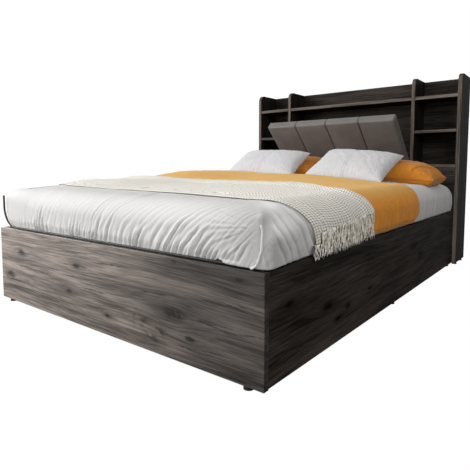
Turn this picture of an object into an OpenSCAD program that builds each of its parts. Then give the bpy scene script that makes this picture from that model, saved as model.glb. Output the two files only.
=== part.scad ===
// Storage bed: a box base on glides, a bookcase headboard with a tilt-out
// padded flap, and a slatted platform on a lift linkage that opens the box.
// X runs across the bed, Y from the foot to the head, Z up, millimetres.
// The origin is on the floor, below the middle of the bed.

/* [Mattress] */
// Width of the mattress
mattress_w = 1396; // [1300:2:1500]
// Thickness of the mattress
mattress_t = 220; // [180:5:240]

/* [Box base] */
// Length of the box, from the foot panel's face to the headboard
box_l = 2050; // [2040:5:2100]
// Height of the top edge of the box above the floor
box_top = 330; // [326:1:345]
// Gap between the floor and the panels
floor_gap = 12; // [8:1:14]
// Thickness of the foot panel
foot_t = 22; // [18:1:24]
// Thickness of the side panels
side_t = 16; // [15:1:18]

/* [Headboard] */
// Depth of the headboard
hb_d = 230; // [225:1:260]
// Height of the headboard
hb_h = 1165; // [1140:5:1250]
// How far the headboard stands out past the foot panel on each side
hb_over = 17; // [10:1:40]
// Thickness of the cheeks
cheek_t = 22; // [18:1:24]
// Thickness of the dividers
divider_t = 20; // [16:1:22]
// Radius of the rounded front top corners
corner_r = 46; // [20:1:60]
// Clear width of the middle bay
middle_w = 896; // [860:2:920]

/* [Flap] */
// Height of the padded flap
flap_h = 455; // [420:1:456]
// Thickness of the padded flap
flap_t = 48; // [44:1:52]
// Angle at which the flap stands open
flap_open = 46; // [20:1:48]

/* [Lift] */
// Swing of the main links at full lift
link_swing = 95; // [90:1:100]
// Tilt of the platform at full lift
tilt = 36; // [30:1:38]

/* [Hidden] */

// colours
c_wood = [0.44, 0.41, 0.39];
c_dark = [0.22, 0.20, 0.19];
c_ply = [0.74, 0.62, 0.45];
c_steel = [0.10, 0.10, 0.11];
c_zinc = [0.66, 0.67, 0.69];
c_black = [0.06, 0.06, 0.06];
c_taupe = [0.40, 0.37, 0.35];
c_sheet = [0.84, 0.83, 0.82];
c_orange = [0.84, 0.55, 0.22];
c_cream = [0.93, 0.90, 0.82];

// derived sizes
in_x = mattress_w / 2 + 5;          // inner face of the side panels
side_x = in_x + side_t;             // outer face of the side panels
foot_x = side_x + 4;                // end of the foot panel
hb_x = foot_x + hb_over;            // outer face of the cheeks
cheek_x = hb_x - cheek_t;           // inner face of the cheeks
bay_x = middle_w / 2;               // inner face of the uprights
up_x = bay_x + divider_t;           // outer face of the uprights
floor_top = floor_gap + 24;         // top of the storage floor
tube_z = 230;                       // underside of the platform tubes
tube_top = 270;
mat_z = 280;                        // underside of the mattress
mat_top = mat_z + mattress_t;
mat_y0 = foot_t + 12;
mat_y1 = box_l - 17;
back_y = box_l + hb_d - 18;         // front face of the back upstand

// lift geometry in the (Y, Z) plane
pa = [box_l - 440, 75];             // main link pivot on the box
pb = [box_l - 310, 175];            // main link pivot on the platform
pd = [box_l - 200, 205];            // guide link pivot on the platform
pg = [box_l - 390, 60];             // gas spring pivot on the box
ph = [box_l - 860, 200];            // gas spring end on the platform
link_r = norm(pb - pa);
link_a = atan2(pb[1] - pa[1], pb[0] - pa[0]);
pb1 = pa + link_r * [cos(link_a + link_swing), sin(link_a + link_swing)];
// where a point of the platform goes at full lift
function lifted(p) = let (y = p[0] - pb[0], z = p[1] - pb[1])
    pb1 + [y * cos(tilt) + z * sin(tilt), -y * sin(tilt) + z * cos(tilt)];
// guide link pivot on the box, as far from the pivot's rest place as from its lifted place
pd1 = lifted(pd);
dd = (pd1 - pd) / norm(pd1 - pd);
pc = (pd + pd1) / 2 + 125 * [dd[1], -dd[0]] * (dd[0] > 0 ? 1 : -1) ;
gas_l = norm(ph - pg);
gas_a = atan2(ph[1] - pg[1], ph[0] - pg[0]);

// flap pivot in the (Y, Z) plane
fp = [box_l + 14, 579];

module place() { translate([0, -(box_l + hb_d) / 2, 0]) children(); }
// cuboid between two corners
module cuboid(a, b) { translate(a) cube(b - a); }
// flat outline with small chamfers
module chamfered(w, h, c) {
    polygon([[c, 0], [w - c, 0], [w, c], [w, h - c], [w - c, h], [c, h], [0, h - c], [0, c]]);
}
// board between two corners, with its long edges eased
module board(a, b, c = 0.8) {
    s = b - a;
    translate(a) intersection() {
        linear_extrude(s[2]) chamfered(s[0], s[1], c);
        translate([s[0], 0, 0]) rotate([0, -90, 0]) linear_extrude(s[0]) chamfered(s[2], s[1], c);
        translate([0, s[1], 0]) rotate([90, 0, 0]) linear_extrude(s[1]) chamfered(s[0], s[2], c);
    }
}
// extrudes a (Y, Z) outline along X, from x0 to x1
module yz(x0, x1) { translate([x0, 0, 0]) rotate([90, 0, 90]) linear_extrude(x1 - x0) children(); }
// cylinder along X at a (Y, Z) point
module xcyl(p, r, x0, x1, fn = 48) { translate([x0, p[0], p[1]]) rotate([0, 90, 0]) cylinder(r = r, h = x1 - x0, $fn = fn); }
module both() { children(); mirror([1, 0, 0]) children(); }

// ---- box base ----
module foot_panel() { color(c_wood) place() board([-foot_x, 0, floor_gap], [foot_x, foot_t, box_top], 1.2); }
module side_panel() { board([in_x, foot_t, floor_gap], [side_x, box_l, box_top], 0.8); }
module right_side_panel() { color(c_dark) place() side_panel(); }
module left_side_panel() { color(c_dark) place() mirror([1, 0, 0]) side_panel(); }
module head_end_panel() { color(c_dark) place() cuboid([-in_x, box_l - 16, floor_gap], [in_x, box_l, 222]); }
module centre_divider() { color(c_dark) place() cuboid([-8, foot_t, floor_top], [8, box_l - 658, tube_z - 0.5]); }
module cross_divider() {
    color(c_dark) place() cuboid([-640, box_l - 658, floor_top], [640, box_l - 642, tube_z - 0.5]);
}
module floor_boards() {
    color(c_wood) place() both() cuboid([0.5, foot_t, floor_top - 12], [in_x, box_l - 16, floor_top]);
}
module floor_battens() {
    color(c_ply) place() {
        both() cuboid([in_x - 20, foot_t, floor_gap], [in_x, box_l - 16, floor_top - 12]);
        cuboid([-20, foot_t, floor_gap], [20, box_l - 16, floor_top - 12]);
    }
}
module side_bearers() {
    color(c_ply) place() both() cuboid([in_x - 40, foot_t, tube_z - 30], [in_x, box_l - 900, tube_z - 0.5]);
}
module foot_bearer() {
    color(c_ply) place() both() cuboid([8, foot_t, tube_z - 30], [in_x - 40, foot_t + 44, tube_z - 0.5]);
}
// steel angle in an inner corner at (x, y), opening towards -X and sy * Y
module angle_bracket(x, y, sy) {
    translate([x, y, 60]) {
        cuboid([-40, min(0, sy * 3), 0], [0, max(0, sy * 3), 120]);
        cuboid([-3, min(sy * 3, sy * 40), 0], [0, max(sy * 3, sy * 40), 120]);
    }
}
module corner_brackets() {
    color(c_zinc) place() both() { angle_bracket(in_x, foot_t, 1); angle_bracket(in_x, box_l - 16, -1); }
}
module bracket_screws() {
    color(c_zinc) place() both() for (z = [85, 155]) {
        for (s = [[foot_t + 3, 1], [box_l - 19, -1]])
            translate([in_x - 25, s[0], z]) rotate([-90 * s[1], 0, 0]) cylinder(r1 = 5, r2 = 3, h = 2.4, $fn = 24);
        for (y = [foot_t + 25, box_l - 41])
            translate([in_x - 3, y, z]) rotate([0, -90, 0]) cylinder(r1 = 5, r2 = 3, h = 2.4, $fn = 24);
    }
}
module glide(x, y) {
    translate([x, y, 0]) { cylinder(r = 15, h = 4, $fn = 40); translate([0, 0, 4]) cylinder(r = 13, h = floor_gap - 4, $fn = 40); }
}
module glide_feet() {
    color(c_black) place() {
        both() {
            glide(660, 18);
            for (y = [box_l / 2, box_l - 60]) glide(in_x - 4, y);
            for (y = [box_l + 40, box_l + hb_d - 50]) glide(hb_x - 15, y);
        }
        for (y = [60, box_l / 2, box_l - 60]) glide(0, y);
    }
}

// ---- headboard ----
// upright with a rounded front top corner, outline in (Y, Z)
module upright_outline(y1) {
    d = y1 - box_l;
    translate([box_l, floor_gap]) {
        square([d, hb_h - floor_gap - corner_r]);
        translate([corner_r, 0]) square([d - corner_r, hb_h - floor_gap]);
        translate([corner_r, hb_h - floor_gap - corner_r]) circle(corner_r, $fn = 64);
    }
}
module right_cheek() { color(c_wood) place() yz(cheek_x, hb_x) upright_outline(box_l + hb_d); }
module left_cheek() { color(c_wood) place() yz(-hb_x, -cheek_x) upright_outline(box_l + hb_d); }
module right_upright() { color(c_wood) place() yz(bay_x, up_x) upright_outline(back_y); }
module left_upright() { color(c_wood) place() yz(-up_x, -bay_x) upright_outline(back_y); }
module bay_lower_panels() {
    color(c_dark) place() both() cuboid([up_x, box_l + 6, floor_gap], [cheek_x, box_l + 22, 600]);
}
module middle_lower_panel() {
    color(c_dark) place() cuboid([-bay_x, box_l + 6, floor_gap], [bay_x, box_l + 22, fp[1] - 34]);
}
module compartment_floor() {
    color(c_dark) place() board([-bay_x, box_l + 6, fp[1] - 34], [bay_x, back_y, fp[1] - 18], 0.6);
}
module top_shelf_left() { color(c_wood) place() board([-cheek_x, box_l + 2, 1025], [-up_x, back_y, 1045], 0.8); }
module top_shelf_middle() { color(c_wood) place() board([-bay_x, box_l + 2, 1025], [bay_x, back_y, 1045], 0.8); }
module top_shelf_right() { color(c_wood) place() board([up_x, box_l + 2, 1025], [cheek_x, back_y, 1045], 0.8); }
module bay_middle_shelves() {
    color(c_wood) place() both() board([up_x, box_l + 4, 815], [cheek_x, back_y, 833], 0.8);
}
module bay_bottom_shelves() {
    color(c_wood) place() both() board([up_x, box_l + 4, 600], [cheek_x, back_y, 618], 0.8);
}
module back_panel() { color(c_dark) place() cuboid([-cheek_x, back_y, floor_gap], [cheek_x, back_y + 6, 1025]); }
module back_upstand() { color(c_wood) place() board([-cheek_x, back_y, 1025], [cheek_x, box_l + hb_d, hb_h], 0.8); }
module headboard_bolts() {
    color(c_zinc) place() both() for (x = [240, 600]) translate([x, box_l - 16, 180])
        rotate([90, 0, 0]) { cylinder(r = 12, h = 2, $fn = 32); translate([0, 0, 2]) cylinder(r = 7, h = 5, $fn = 6); }
}

// ---- flap, drawn closed in (Y, Z) and turned open about its pivot ----
module opened(a = flap_open) { translate([0, fp[0], fp[1]]) rotate([a, 0, 0]) translate([0, -fp[0], -fp[1]]) children(); }
flap_y = fp[0] - 12;                 // front face of the closed flap
flap_z = fp[1] - 12;                 // lower edge of the closed flap
// stop pin, where the tail of the pivot plate meets it when the flap is open
stop_p = fp + 26 * [cos(flap_open), sin(flap_open)] + 14.1 * [-sin(flap_open), cos(flap_open)];
module flap_board() {
    color(c_ply) place() opened() cuboid([-bay_x + 5, flap_y + 34, flap_z + 4], [bay_x - 5, flap_y + flap_t, flap_z + flap_h - 4]);
}
module flap_upholstery() {
    color(c_taupe) place() opened() board([-bay_x + 5.5, flap_y, flap_z], [bay_x - 5.5, flap_y + 34, flap_z + flap_h], 6);
}
module flap_pivot_plates() {
    color(c_zinc) place() opened() both() difference() {
        union() { xcyl(fp, 10, bay_x - 5, bay_x - 2); cuboid([bay_x - 5, fp[0], fp[1] - 10], [bay_x - 2, fp[0] + 34, fp[1] + 10]); }
        xcyl(fp, 4.05, bay_x - 6, bay_x - 1);
    }
}
module flap_pivot_pins() {
    color(c_zinc) place() both() {
        xcyl(fp, 4, bay_x - 5.2, bay_x - 1.6);
        xcyl(fp, 9, bay_x - 1.6, bay_x);
        xcyl(stop_p, 4, bay_x - 5, bay_x);
    }
}

// ---- lift mechanism ----
// flat bar with round bosses at its ends, between two (Y, Z) points
module bar2d(p, q, w) {
    a = atan2(q[1] - p[1], q[0] - p[0]);
    translate(p) { circle(w / 2, $fn = 48); rotate(a) translate([0, 3 - w / 2]) square([norm(q - p), w - 6]); }
    translate(q) circle(w / 2, $fn = 48);
}
module lift_mount_plates() {
    x0 = in_x - 4;
    color(c_steel) place() both() {
        yz(x0, in_x) translate([pa[0] - 45, floor_top + 2]) chamfered(pc[0] - pa[0] + 85, 60, 8);
        for (y = [pa[0] - 32, pa[0] + 88, pc[0] + 28]) xcyl([y, floor_top + 48], 5, x0 - 2, x0, 24);
        for (p = [pa, pc]) {
            xcyl(p, 9, x0 - 2.5, x0);
            xcyl(p, 6, x0 - 11, x0 - 2.5);
            xcyl(p, 9, x0 - 12.5, x0 - 11);
        }
        xcyl(pg, 7, in_x - 33, x0);
        xcyl(pg, 4, in_x - 46, in_x - 33);
        xcyl(pg, 6.5, in_x - 48, in_x - 46);
    }
}
// flat bar with a bore at its first end and a pin at its second, on the inner side
module link_arm(p, q, w) {
    x0 = in_x - 13;
    difference() {
        yz(x0, x0 + 6) bar2d(p, q, w);
        xcyl(p, 6.05, x0 - 1, x0 + 7);
    }
}
module lift_links() {
    x0 = in_x - 13;
    color(c_steel) place() both() {
        link_arm(pa, pb, 28);
        xcyl(pb, 9, x0 - 3.5, x0);
        xcyl(pb, 6, x0 - 8.6, x0 - 3.5);
        xcyl(pb, 9, x0 - 10.6, x0 - 8.6);
    }
}
module guide_links() {
    x0 = in_x - 13;
    color(c_steel) place() both() {
        link_arm(pc, pd, 24);
        xcyl(pd, 8, x0 - 3.5, x0);
    }
}
// places a piece drawn along +X, from the gas spring's fixed end, onto the spring's line
module along_gas() { translate([in_x - 39, pg[0], pg[1]]) rotate([0, 0, 90]) rotate([0, -gas_a, 0]) children(); }
module gas_cylinders() {
    color(c_black) place() both() along_gas() difference() {
        union() {
            translate([24, 0, 0]) rotate([0, 90, 0]) cylinder(r = 11, h = 331, $fn = 48);
            translate([7, 0, 0]) rotate([0, 90, 0]) cylinder(r = 4.6, h = 18, $fn = 32);
            rotate([90, 0, 0]) translate([0, 0, -5]) cylinder(r = 8.5, h = 10, $fn = 40);
        }
        rotate([90, 0, 0]) translate([0, 0, -8]) cylinder(r = 4.05, h = 16, $fn = 40);
        translate([32, 0, 0]) rotate([0, 90, 0]) cylinder(r = 9.5, h = 309, $fn = 48);
        translate([330, 0, 0]) rotate([0, 90, 0]) cylinder(r = 4.55, h = 40, $fn = 40);
    }
}
module gas_rods() {
    color(c_zinc) place() both() along_gas() {
        translate([46, 0, 0]) rotate([0, 90, 0]) cylinder(r = 9.4, h = 12, $fn = 48);
        translate([58, 0, 0]) rotate([0, 90, 0]) cylinder(r = 4.5, h = gas_l - 58 - 6, $fn = 40);
        translate([gas_l, 0, 0]) rotate([90, 0, 0]) translate([0, 0, -5]) cylinder(r = 8, h = 10, $fn = 40);
        translate([gas_l, 0, 0]) rotate([90, 0, 0]) translate([0, 0, -7.5]) cylinder(r = 5, h = 2.5, $fn = 40);
    }
}

// ---- platform ----
tx1 = in_x - 21;                     // outer face of the side tubes
tx0 = tx1 - 25;
ty0 = foot_t + 24;
ty1 = box_l - 50;
module box_tube(a, b, axis, t = 2) {
    s = b - a;
    difference() {
        cuboid(a, b);
        if (axis == "y") cuboid([a[0] + t, a[1] - 1, a[2] + t], [b[0] - t, b[1] + 1, b[2] - t]);
        else cuboid([a[0] - 1, a[1] + t, a[2] + t], [b[0] + 1, b[1] - t, b[2] - t]);
    }
}
module side_tubes() { color(c_steel) place() both() box_tube([tx0, ty0, tube_z], [tx1, ty1, tube_top], "y"); }
module end_tubes() {
    color(c_steel) place() {
        box_tube([-tx0, ty0, tube_z], [tx0, ty0 + 25, tube_top], "x");
        box_tube([-tx0, ty1 - 25, tube_z], [tx0, ty1, tube_top], "x");
    }
}
module centre_tube() { color(c_steel) place() box_tube([-12.5, ty0 + 25, tube_z], [12.5, ty1 - 25, tube_top], "y"); }
module cross_tubes() {
    color(c_steel) place() both() for (y = [700, box_l - 670]) box_tube([12.5, y, tube_z], [tx0, y + 25, tube_top], "x");
}
slat_n = 13;
function slat_y(i) = ty0 + 75 + i * (ty1 - ty0 - 150) / (slat_n - 1);
module slats() {
    color(c_ply) place() both() for (i = [0:slat_n - 1])
        cuboid([14, slat_y(i) - 26.5, tube_top + 1], [tx0 + 6, slat_y(i) + 26.5, tube_top + 9]);
}
module holder(x0, x1, y, open_a, open_b) {
    difference() {
        cuboid([x0, y - 30, tube_top], [x1, y + 30, tube_top + 9.7]);
        cuboid([open_a, y - 26.5, tube_top + 1], [open_b, y + 26.5, tube_top + 9]);
    }
}
module slat_holders() {
    color(c_black) place() for (i = [0:slat_n - 1]) {
        both() holder(tx0 - 12, tx0 + 12, slat_y(i), tx0 - 13, tx0 + 6);
        difference() {
            cuboid([-26, slat_y(i) - 30, tube_top], [26, slat_y(i) + 30, tube_top + 9.7]);
            both() cuboid([14, slat_y(i) - 26.5, tube_top + 1], [27, slat_y(i) + 26.5, tube_top + 9]);
        }
    }
}
module lift_brackets() {
    color(c_steel) place() both() difference() {
        yz(tx1, tx1 + 4) polygon([[pb[0] - 50, tube_top - 4], [pb[0] - 50, tube_z - 4], [pb[0] - 20, pb[1] - 16],
            [pb[0] + 24, pb[1] - 18], [pd[0] + 14, pd[1] - 16], [pd[0] + 34, tube_z], [pd[0] + 34, tube_top - 4]]);
        xcyl(pb, 6.05, tx1 - 1, tx1 + 5);
    }
}
module gas_brackets() {
    color(c_steel) place() both() {
        yz(in_x - 31, in_x - 27) polygon([[ph[0] - 14, ph[1] - 4], [ph[0] - 8, ph[1] - 12], [ph[0] + 8, ph[1] - 12],
            [ph[0] + 14, ph[1] - 4], [ph[0] + 22, tube_z], [ph[0] - 22, tube_z]]);
    }
}
bar_y = foot_t - 12;              // it lies just over the foot panel's top edge
bar_z = box_top + 7;
bar_x = mattress_w / 2 + 5;
bar_r = 90;
bar_up = 44;                      // straight upper part of its ends
module retaining_bar() {
    color(c_steel) place() {
        translate([-bar_x + bar_r, bar_y, bar_z]) rotate([0, 90, 0]) cylinder(r = 4, h = 2 * (bar_x - bar_r), $fn = 32);
        both() {
            translate([bar_x - bar_r, bar_y, bar_z + bar_r]) rotate([90, 0, 0]) rotate([0, 0, -90])
                rotate_extrude(angle = 90, $fn = 96) translate([bar_r, 0]) circle(4, $fn = 32);
            translate([bar_x, bar_y, bar_z + bar_r]) cylinder(r = 4, h = bar_up, $fn = 32);
            translate([bar_x, bar_y, bar_z + bar_r + bar_up]) sphere(r = 4, $fn = 32);
        }
    }
}
module bar_brackets() {
    color(c_steel) place() for (x = [-450, 0, 450]) {
        cuboid([x - 12, bar_y + 4, bar_z - 1.5], [x + 12, foot_t + 8, bar_z + 1.5]);
        cuboid([x - 12, foot_t + 5.5, tube_top], [x + 12, foot_t + 8, bar_z]);
        cuboid([x - 12, foot_t + 6, tube_top], [x + 12, ty0 + 25, tube_top + 3]);
    }
}

// ---- bedding, plain solids of the real outer size ----
// the mattress is a quilted shell around the room of its light spring core
shell_t = 14;
module mattress() {
    color("white") place() difference() {
        board([-mattress_w / 2, mat_y0, mat_z], [mattress_w / 2, mat_y1, mat_top], 12);
        cuboid([shell_t - mattress_w / 2, mat_y0 + shell_t, mat_z + shell_t],
            [mattress_w / 2 - shell_t, mat_y1 - shell_t, mat_top - shell_t]);
    }
}
module fitted_sheet() {
    color(c_sheet) place() difference() {
        board([-mattress_w / 2 - 3, mat_y0 - 3, mat_z + 6], [mattress_w / 2 + 3, mat_y1 + 3, mat_top + 3], 12);
        board([-mattress_w / 2 - 0.3, mat_y0 - 0.3, mat_z - 30], [mattress_w / 2 + 0.3, mat_y1 + 0.3, mat_top + 0.3], 12);
    }
}
sheet_x = mattress_w / 2 + 3;
// thick blanket folded in two, with air between its layers, laid across the bed
quilt_y0 = 620;
quilt_y1 = 1290;
quilt_top = mat_top + 38;
module orange_blanket() {
    x = sheet_x + 6.6;
    color(c_orange) place() difference() {
        cuboid([-x, quilt_y0, box_top + 6], [x, quilt_y1, quilt_top]);
        cuboid([6 - x, quilt_y0 - 1, box_top], [x - 6, quilt_y1 + 1, mat_top + 3.4]);
        cuboid([12 - x, quilt_y0 + 6, mat_top + 9.4], [x - 12, quilt_y1 - 6, quilt_top - 6]);
    }
}
throw_x = side_x + 7;
// top of the throw from its (X, Y) outline: low in front of the blanket, high over it
module throw_top() {
    low = mat_top + 4;
    y = quilt_y0 - 7;
    intersection() { translate([0, 0, low]) linear_extrude(7) children(); cuboid([0, 0, low], [throw_x, y, low + 7]); }
    intersection() {
        translate([0, 0, low]) linear_extrude(quilt_top + 7.4 - low) children();
        cuboid([0, y - 6, low], [throw_x, y, quilt_top + 7.4]);
    }
    intersection() {
        translate([0, 0, quilt_top + 0.4]) linear_extrude(7) children();
        cuboid([0, y - 6, quilt_top + 0.4], [throw_x, 2000, quilt_top + 7.4]);
    }
}
module throw_half() {
    throw_top() polygon([[0, 195], [330, 166], [560, 136], [throw_x, 195], [throw_x, 645], [590, 665], [384, 757], [0, 735]]);
    yz(throw_x - 5.5, throw_x) polygon([[195, mat_top + 4], [195, mat_top + 11], [quilt_y0 - 10, mat_top + 11],
        [quilt_y0 - 10, quilt_top + 7], [645, quilt_top + 7], [745, box_top + 1], [300, box_top + 1]]);
}
module knit_throw() {
    color(c_cream) place() {
        throw_half();
        mirror([1, 0, 0]) throw_top() polygon([[0, 195], [throw_x, 285], [throw_x, 860], [0, 735]]);
        mirror([1, 0, 0]) yz(throw_x - 5.5, throw_x)
            polygon([[285, mat_top + 4], [285, mat_top + 11], [quilt_y0 - 10, mat_top + 11], [quilt_y0 - 10, quilt_top + 7],
                [860, quilt_top + 7], [840, box_top + 1], [305, box_top + 1]]);
    }
}
module throw_fringe() {
    color(c_cream) place() {
        yz(throw_x - 5, throw_x - 1) polygon([[300, box_top + 1], [745, box_top + 1], [752, box_top - 18], [306, box_top - 18]]);
        mirror([1, 0, 0]) yz(throw_x - 5, throw_x - 1)
            polygon([[305, box_top + 1], [840, box_top + 1], [838, box_top - 18], [308, box_top - 18]]);
    }
}
pz = mat_top + 4;                    // the pillows lie on the sheet
module grey_pillow_outline() {
    polygon([[1440, pz], [1410, pz + 26], [1420, pz + 76], [1500, pz + 136], [1640, pz + 196], [1740, pz + 226],
        [1782, pz + 208], [1780, pz + 166], [1612, pz + 93], [1545, pz]]);
}
module orange_pillow_outline() {
    polygon([[1605, pz], [1572, pz + 34], [1622, pz + 84], [1765, pz + 134], [1880, pz + 140], [1932, pz + 104],
        [1936, pz + 36], [1904, pz]]);
}
// a pillow is a shell around light filling; c is the middle of its outline
module pillow(x0, x1, c) {
    difference() {
        yz(x0, x1) children();
        yz(x0 + 8, x1 - 8) translate(c) scale(0.88) translate(-c) children();
    }
}
module grey_pillow_left() { color(c_sheet) place() pillow(-540, -20, [1590, pz + 105]) grey_pillow_outline(); }
module grey_pillow_right() { color(c_sheet) place() pillow(20, 540, [1590, pz + 105]) grey_pillow_outline(); }
module orange_pillow_left() { color(c_orange) place() pillow(-690, -30, [1765, pz + 66]) orange_pillow_outline(); }
module orange_pillow_right() { color(c_orange) place() pillow(30, 690, [1765, pz + 66]) orange_pillow_outline(); }

foot_panel();
left_side_panel();
right_side_panel();
head_end_panel();
centre_divider();
cross_divider();
floor_boards();
floor_battens();
side_bearers();
foot_bearer();
corner_brackets();
bracket_screws();
glide_feet();
left_cheek();
right_cheek();
left_upright();
right_upright();
bay_lower_panels();
middle_lower_panel();
compartment_floor();
top_shelf_left();
top_shelf_middle();
top_shelf_right();
bay_middle_shelves();
bay_bottom_shelves();
back_panel();
back_upstand();
headboard_bolts();
flap_pivot_pins();
flap_board();
flap_upholstery();
flap_pivot_plates();
lift_mount_plates();
lift_links();
guide_links();
gas_cylinders();
gas_rods();
side_tubes();
end_tubes();
centre_tube();
cross_tubes();
slats();
slat_holders();
lift_brackets();
gas_brackets();
retaining_bar();
bar_brackets();
mattress();
fitted_sheet();
orange_blanket();
knit_throw();
throw_fringe();
grey_pillow_left();
grey_pillow_right();
orange_pillow_left();
orange_pillow_right();
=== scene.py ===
# Storage bed: materials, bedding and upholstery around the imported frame.
import math
import bmesh
import bpy
import numpy as np
from mathutils import Matrix, Vector


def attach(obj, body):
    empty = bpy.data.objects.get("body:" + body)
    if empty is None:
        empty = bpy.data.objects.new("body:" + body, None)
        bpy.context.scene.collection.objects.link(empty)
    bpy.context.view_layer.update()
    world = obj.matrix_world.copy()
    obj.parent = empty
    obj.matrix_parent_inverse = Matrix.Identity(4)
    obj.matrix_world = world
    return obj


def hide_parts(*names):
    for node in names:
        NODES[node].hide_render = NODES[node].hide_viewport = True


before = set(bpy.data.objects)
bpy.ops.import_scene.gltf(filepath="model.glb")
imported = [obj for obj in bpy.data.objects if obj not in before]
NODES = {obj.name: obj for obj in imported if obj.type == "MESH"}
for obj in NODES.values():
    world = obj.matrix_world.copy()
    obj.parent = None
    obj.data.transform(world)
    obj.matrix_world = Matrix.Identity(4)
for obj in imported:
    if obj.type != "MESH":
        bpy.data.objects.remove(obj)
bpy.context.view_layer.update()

scene = bpy.context.scene
OY = 1.140          # the bed's middle, from the foot panel's face


# ---------------------------------------------------------------- helpers
def W(p):
    """Millimetres from the foot panel's face, in metres in the row frame. Works on arrays (..., 3)."""
    p = np.asarray(p, float) / 1000.0
    out = p.copy()
    out[..., 1] -= OY
    return out


def smooth(a, b, x):
    t = np.clip((np.asarray(x, float) - a) / (b - a), 0, 1)
    return t * t * (3 - 2 * t)


def hash2(i, j, seed):
    n = (i.astype(np.int64) * 374761393 + j.astype(np.int64) * 668265263 + int(seed) * 1442695041) & 0xFFFFFFFF
    n = ((n ^ (n >> 13)) * 1274126177) & 0xFFFFFFFF
    n = n ^ (n >> 16)
    return (n & 0xFFFF) / 65535.0


def vnoise(x, y, seed=0):
    """Smooth value noise in -1..1."""
    x, y = np.broadcast_arrays(np.asarray(x, float), np.asarray(y, float))
    i, j = np.floor(x), np.floor(y)
    fx, fy = x - i, y - j
    i, j = i.astype(np.int64), j.astype(np.int64)
    ux, uy = fx * fx * fx * (fx * (fx * 6 - 15) + 10), fy * fy * fy * (fy * (fy * 6 - 15) + 10)
    a, b = hash2(i, j, seed), hash2(i + 1, j, seed)
    c, d = hash2(i, j + 1, seed), hash2(i + 1, j + 1, seed)
    return ((a * (1 - ux) + b * ux) * (1 - uy) + (c * (1 - ux) + d * ux) * uy) * 2 - 1


def fbm(x, y, seed=0, octaves=3):
    out, amp, tot = 0, 1.0, 0
    for k in range(octaves):
        out = out + amp * vnoise(np.asarray(x) * 2 ** k + 17.3 * k, np.asarray(y) * 2 ** k - 9.1 * k, seed + 31 * k)
        tot += amp
        amp *= 0.5
    return out / tot


def crease(q, seed, width=0.22, spread=0.25):
    """A row of folds along q, one each unit: each a narrow valley beside a soft ridge, of its own place and depth. -1..1."""
    q = np.asarray(q, float)
    base = np.floor(q)
    out = np.zeros_like(q)
    for k in (-1, 0, 1):
        i = base + k
        c = i + 0.5 + spread * (hash2(i.astype(np.int64), np.zeros_like(i, dtype=np.int64), seed) * 2 - 1)
        depth = 0.35 + 0.65 * hash2(i.astype(np.int64), np.ones_like(i, dtype=np.int64), seed)
        d = q - c
        out += depth * (-np.exp(-(d / width) ** 2) + 0.8 * np.exp(-((d - 1.7 * width) / (1.3 * width)) ** 2)
                        + 0.5 * np.exp(-((d + 1.9 * width) / (1.5 * width)) ** 2))
    return out


def mesh_object(name, verts, faces, smooth_faces=True, uvs=None):
    me = bpy.data.meshes.new(name)
    me.from_pydata([tuple(v) for v in verts], [], [tuple(f) for f in faces])
    me.validate()
    me.update()
    if smooth_faces:
        me.polygons.foreach_set("use_smooth", [True] * len(me.polygons))
    if uvs is not None:
        layer = me.uv_layers.new(name="UVMap")
        loops = np.zeros(len(me.loops), np.int32)
        me.loops.foreach_get("vertex_index", loops)
        layer.data.foreach_set("uv", np.asarray(uvs, float)[loops].ravel())
    o = bpy.data.objects.new(name, me)
    scene.collection.objects.link(o)
    return o


def grid_faces(nu, nv, flip=False, start=0):
    i, j = np.meshgrid(np.arange(nu - 1), np.arange(nv - 1), indexing="ij")
    a = start + i * nv + j
    f = np.stack([a, a + nv, a + nv + 1, a + 1], -1).reshape(-1, 4)
    return f[:, ::-1] if flip else f


def grid_object(name, P, uv=None, flip=False):
    nu, nv = P.shape[:2]
    return mesh_object(name, P.reshape(-1, 3), grid_faces(nu, nv, flip), uvs=None if uv is None else uv.reshape(-1, 2))


def grid_normals(P, flip=False):
    du = np.gradient(P, axis=0)
    dv = np.gradient(P, axis=1)
    n = np.cross(du, dv)
    n /= np.linalg.norm(n, axis=-1, keepdims=True) + 1e-12
    return -n if flip else n


def apply_modifiers(o):
    dg = bpy.context.evaluated_depsgraph_get()
    me = bpy.data.meshes.new_from_object(o.evaluated_get(dg), preserve_all_data_layers=True, depsgraph=dg)
    o.modifiers.clear()
    old = o.data
    o.data = me
    bpy.data.meshes.remove(old)
    return o


def thicken(o, t, offset=-1.0):
    """Gives a sheet its thickness, in metres, inwards or outwards."""
    m = o.modifiers.new("thickness", "SOLIDIFY")
    m.thickness = t
    m.offset = offset
    m.use_rim = True
    m.use_even_offset = False
    return apply_modifiers(o)


def tube_mesh(paths, radius, sides=6, caps=True):
    """Vertices and faces of round tubes along paths, each an array of points in metres; radius is one value or one for each point."""
    verts, faces = [], []
    for path in paths:
        P = np.asarray(path, float)
        n = len(P)
        r = np.broadcast_to(np.asarray(radius, float), (n,)) if np.ndim(radius) < 2 else radius
        t = np.gradient(P, axis=0)
        t /= np.linalg.norm(t, axis=1, keepdims=True) + 1e-12
        up = np.array([0.13, 0.21, 0.97])
        base = len(verts)
        for k in range(n):
            a = np.cross(t[k], up)
            if np.linalg.norm(a) < 1e-3:
                a = np.cross(t[k], [1, 0, 0])
            a /= np.linalg.norm(a)
            b = np.cross(t[k], a)
            for s in range(sides):
                w = 2 * math.pi * s / sides
                verts.append(P[k] + r[k] * (math.cos(w) * a + math.sin(w) * b))
        for k in range(n - 1):
            for s in range(sides):
                s2 = (s + 1) % sides
                faces.append((base + k * sides + s, base + (k + 1) * sides + s, base + (k + 1) * sides + s2, base + k * sides + s2))
        if caps:
            faces.append(tuple(base + s for s in range(sides)))
            faces.append(tuple(base + (n - 1) * sides + s for s in reversed(range(sides))))
    return verts, faces


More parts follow.
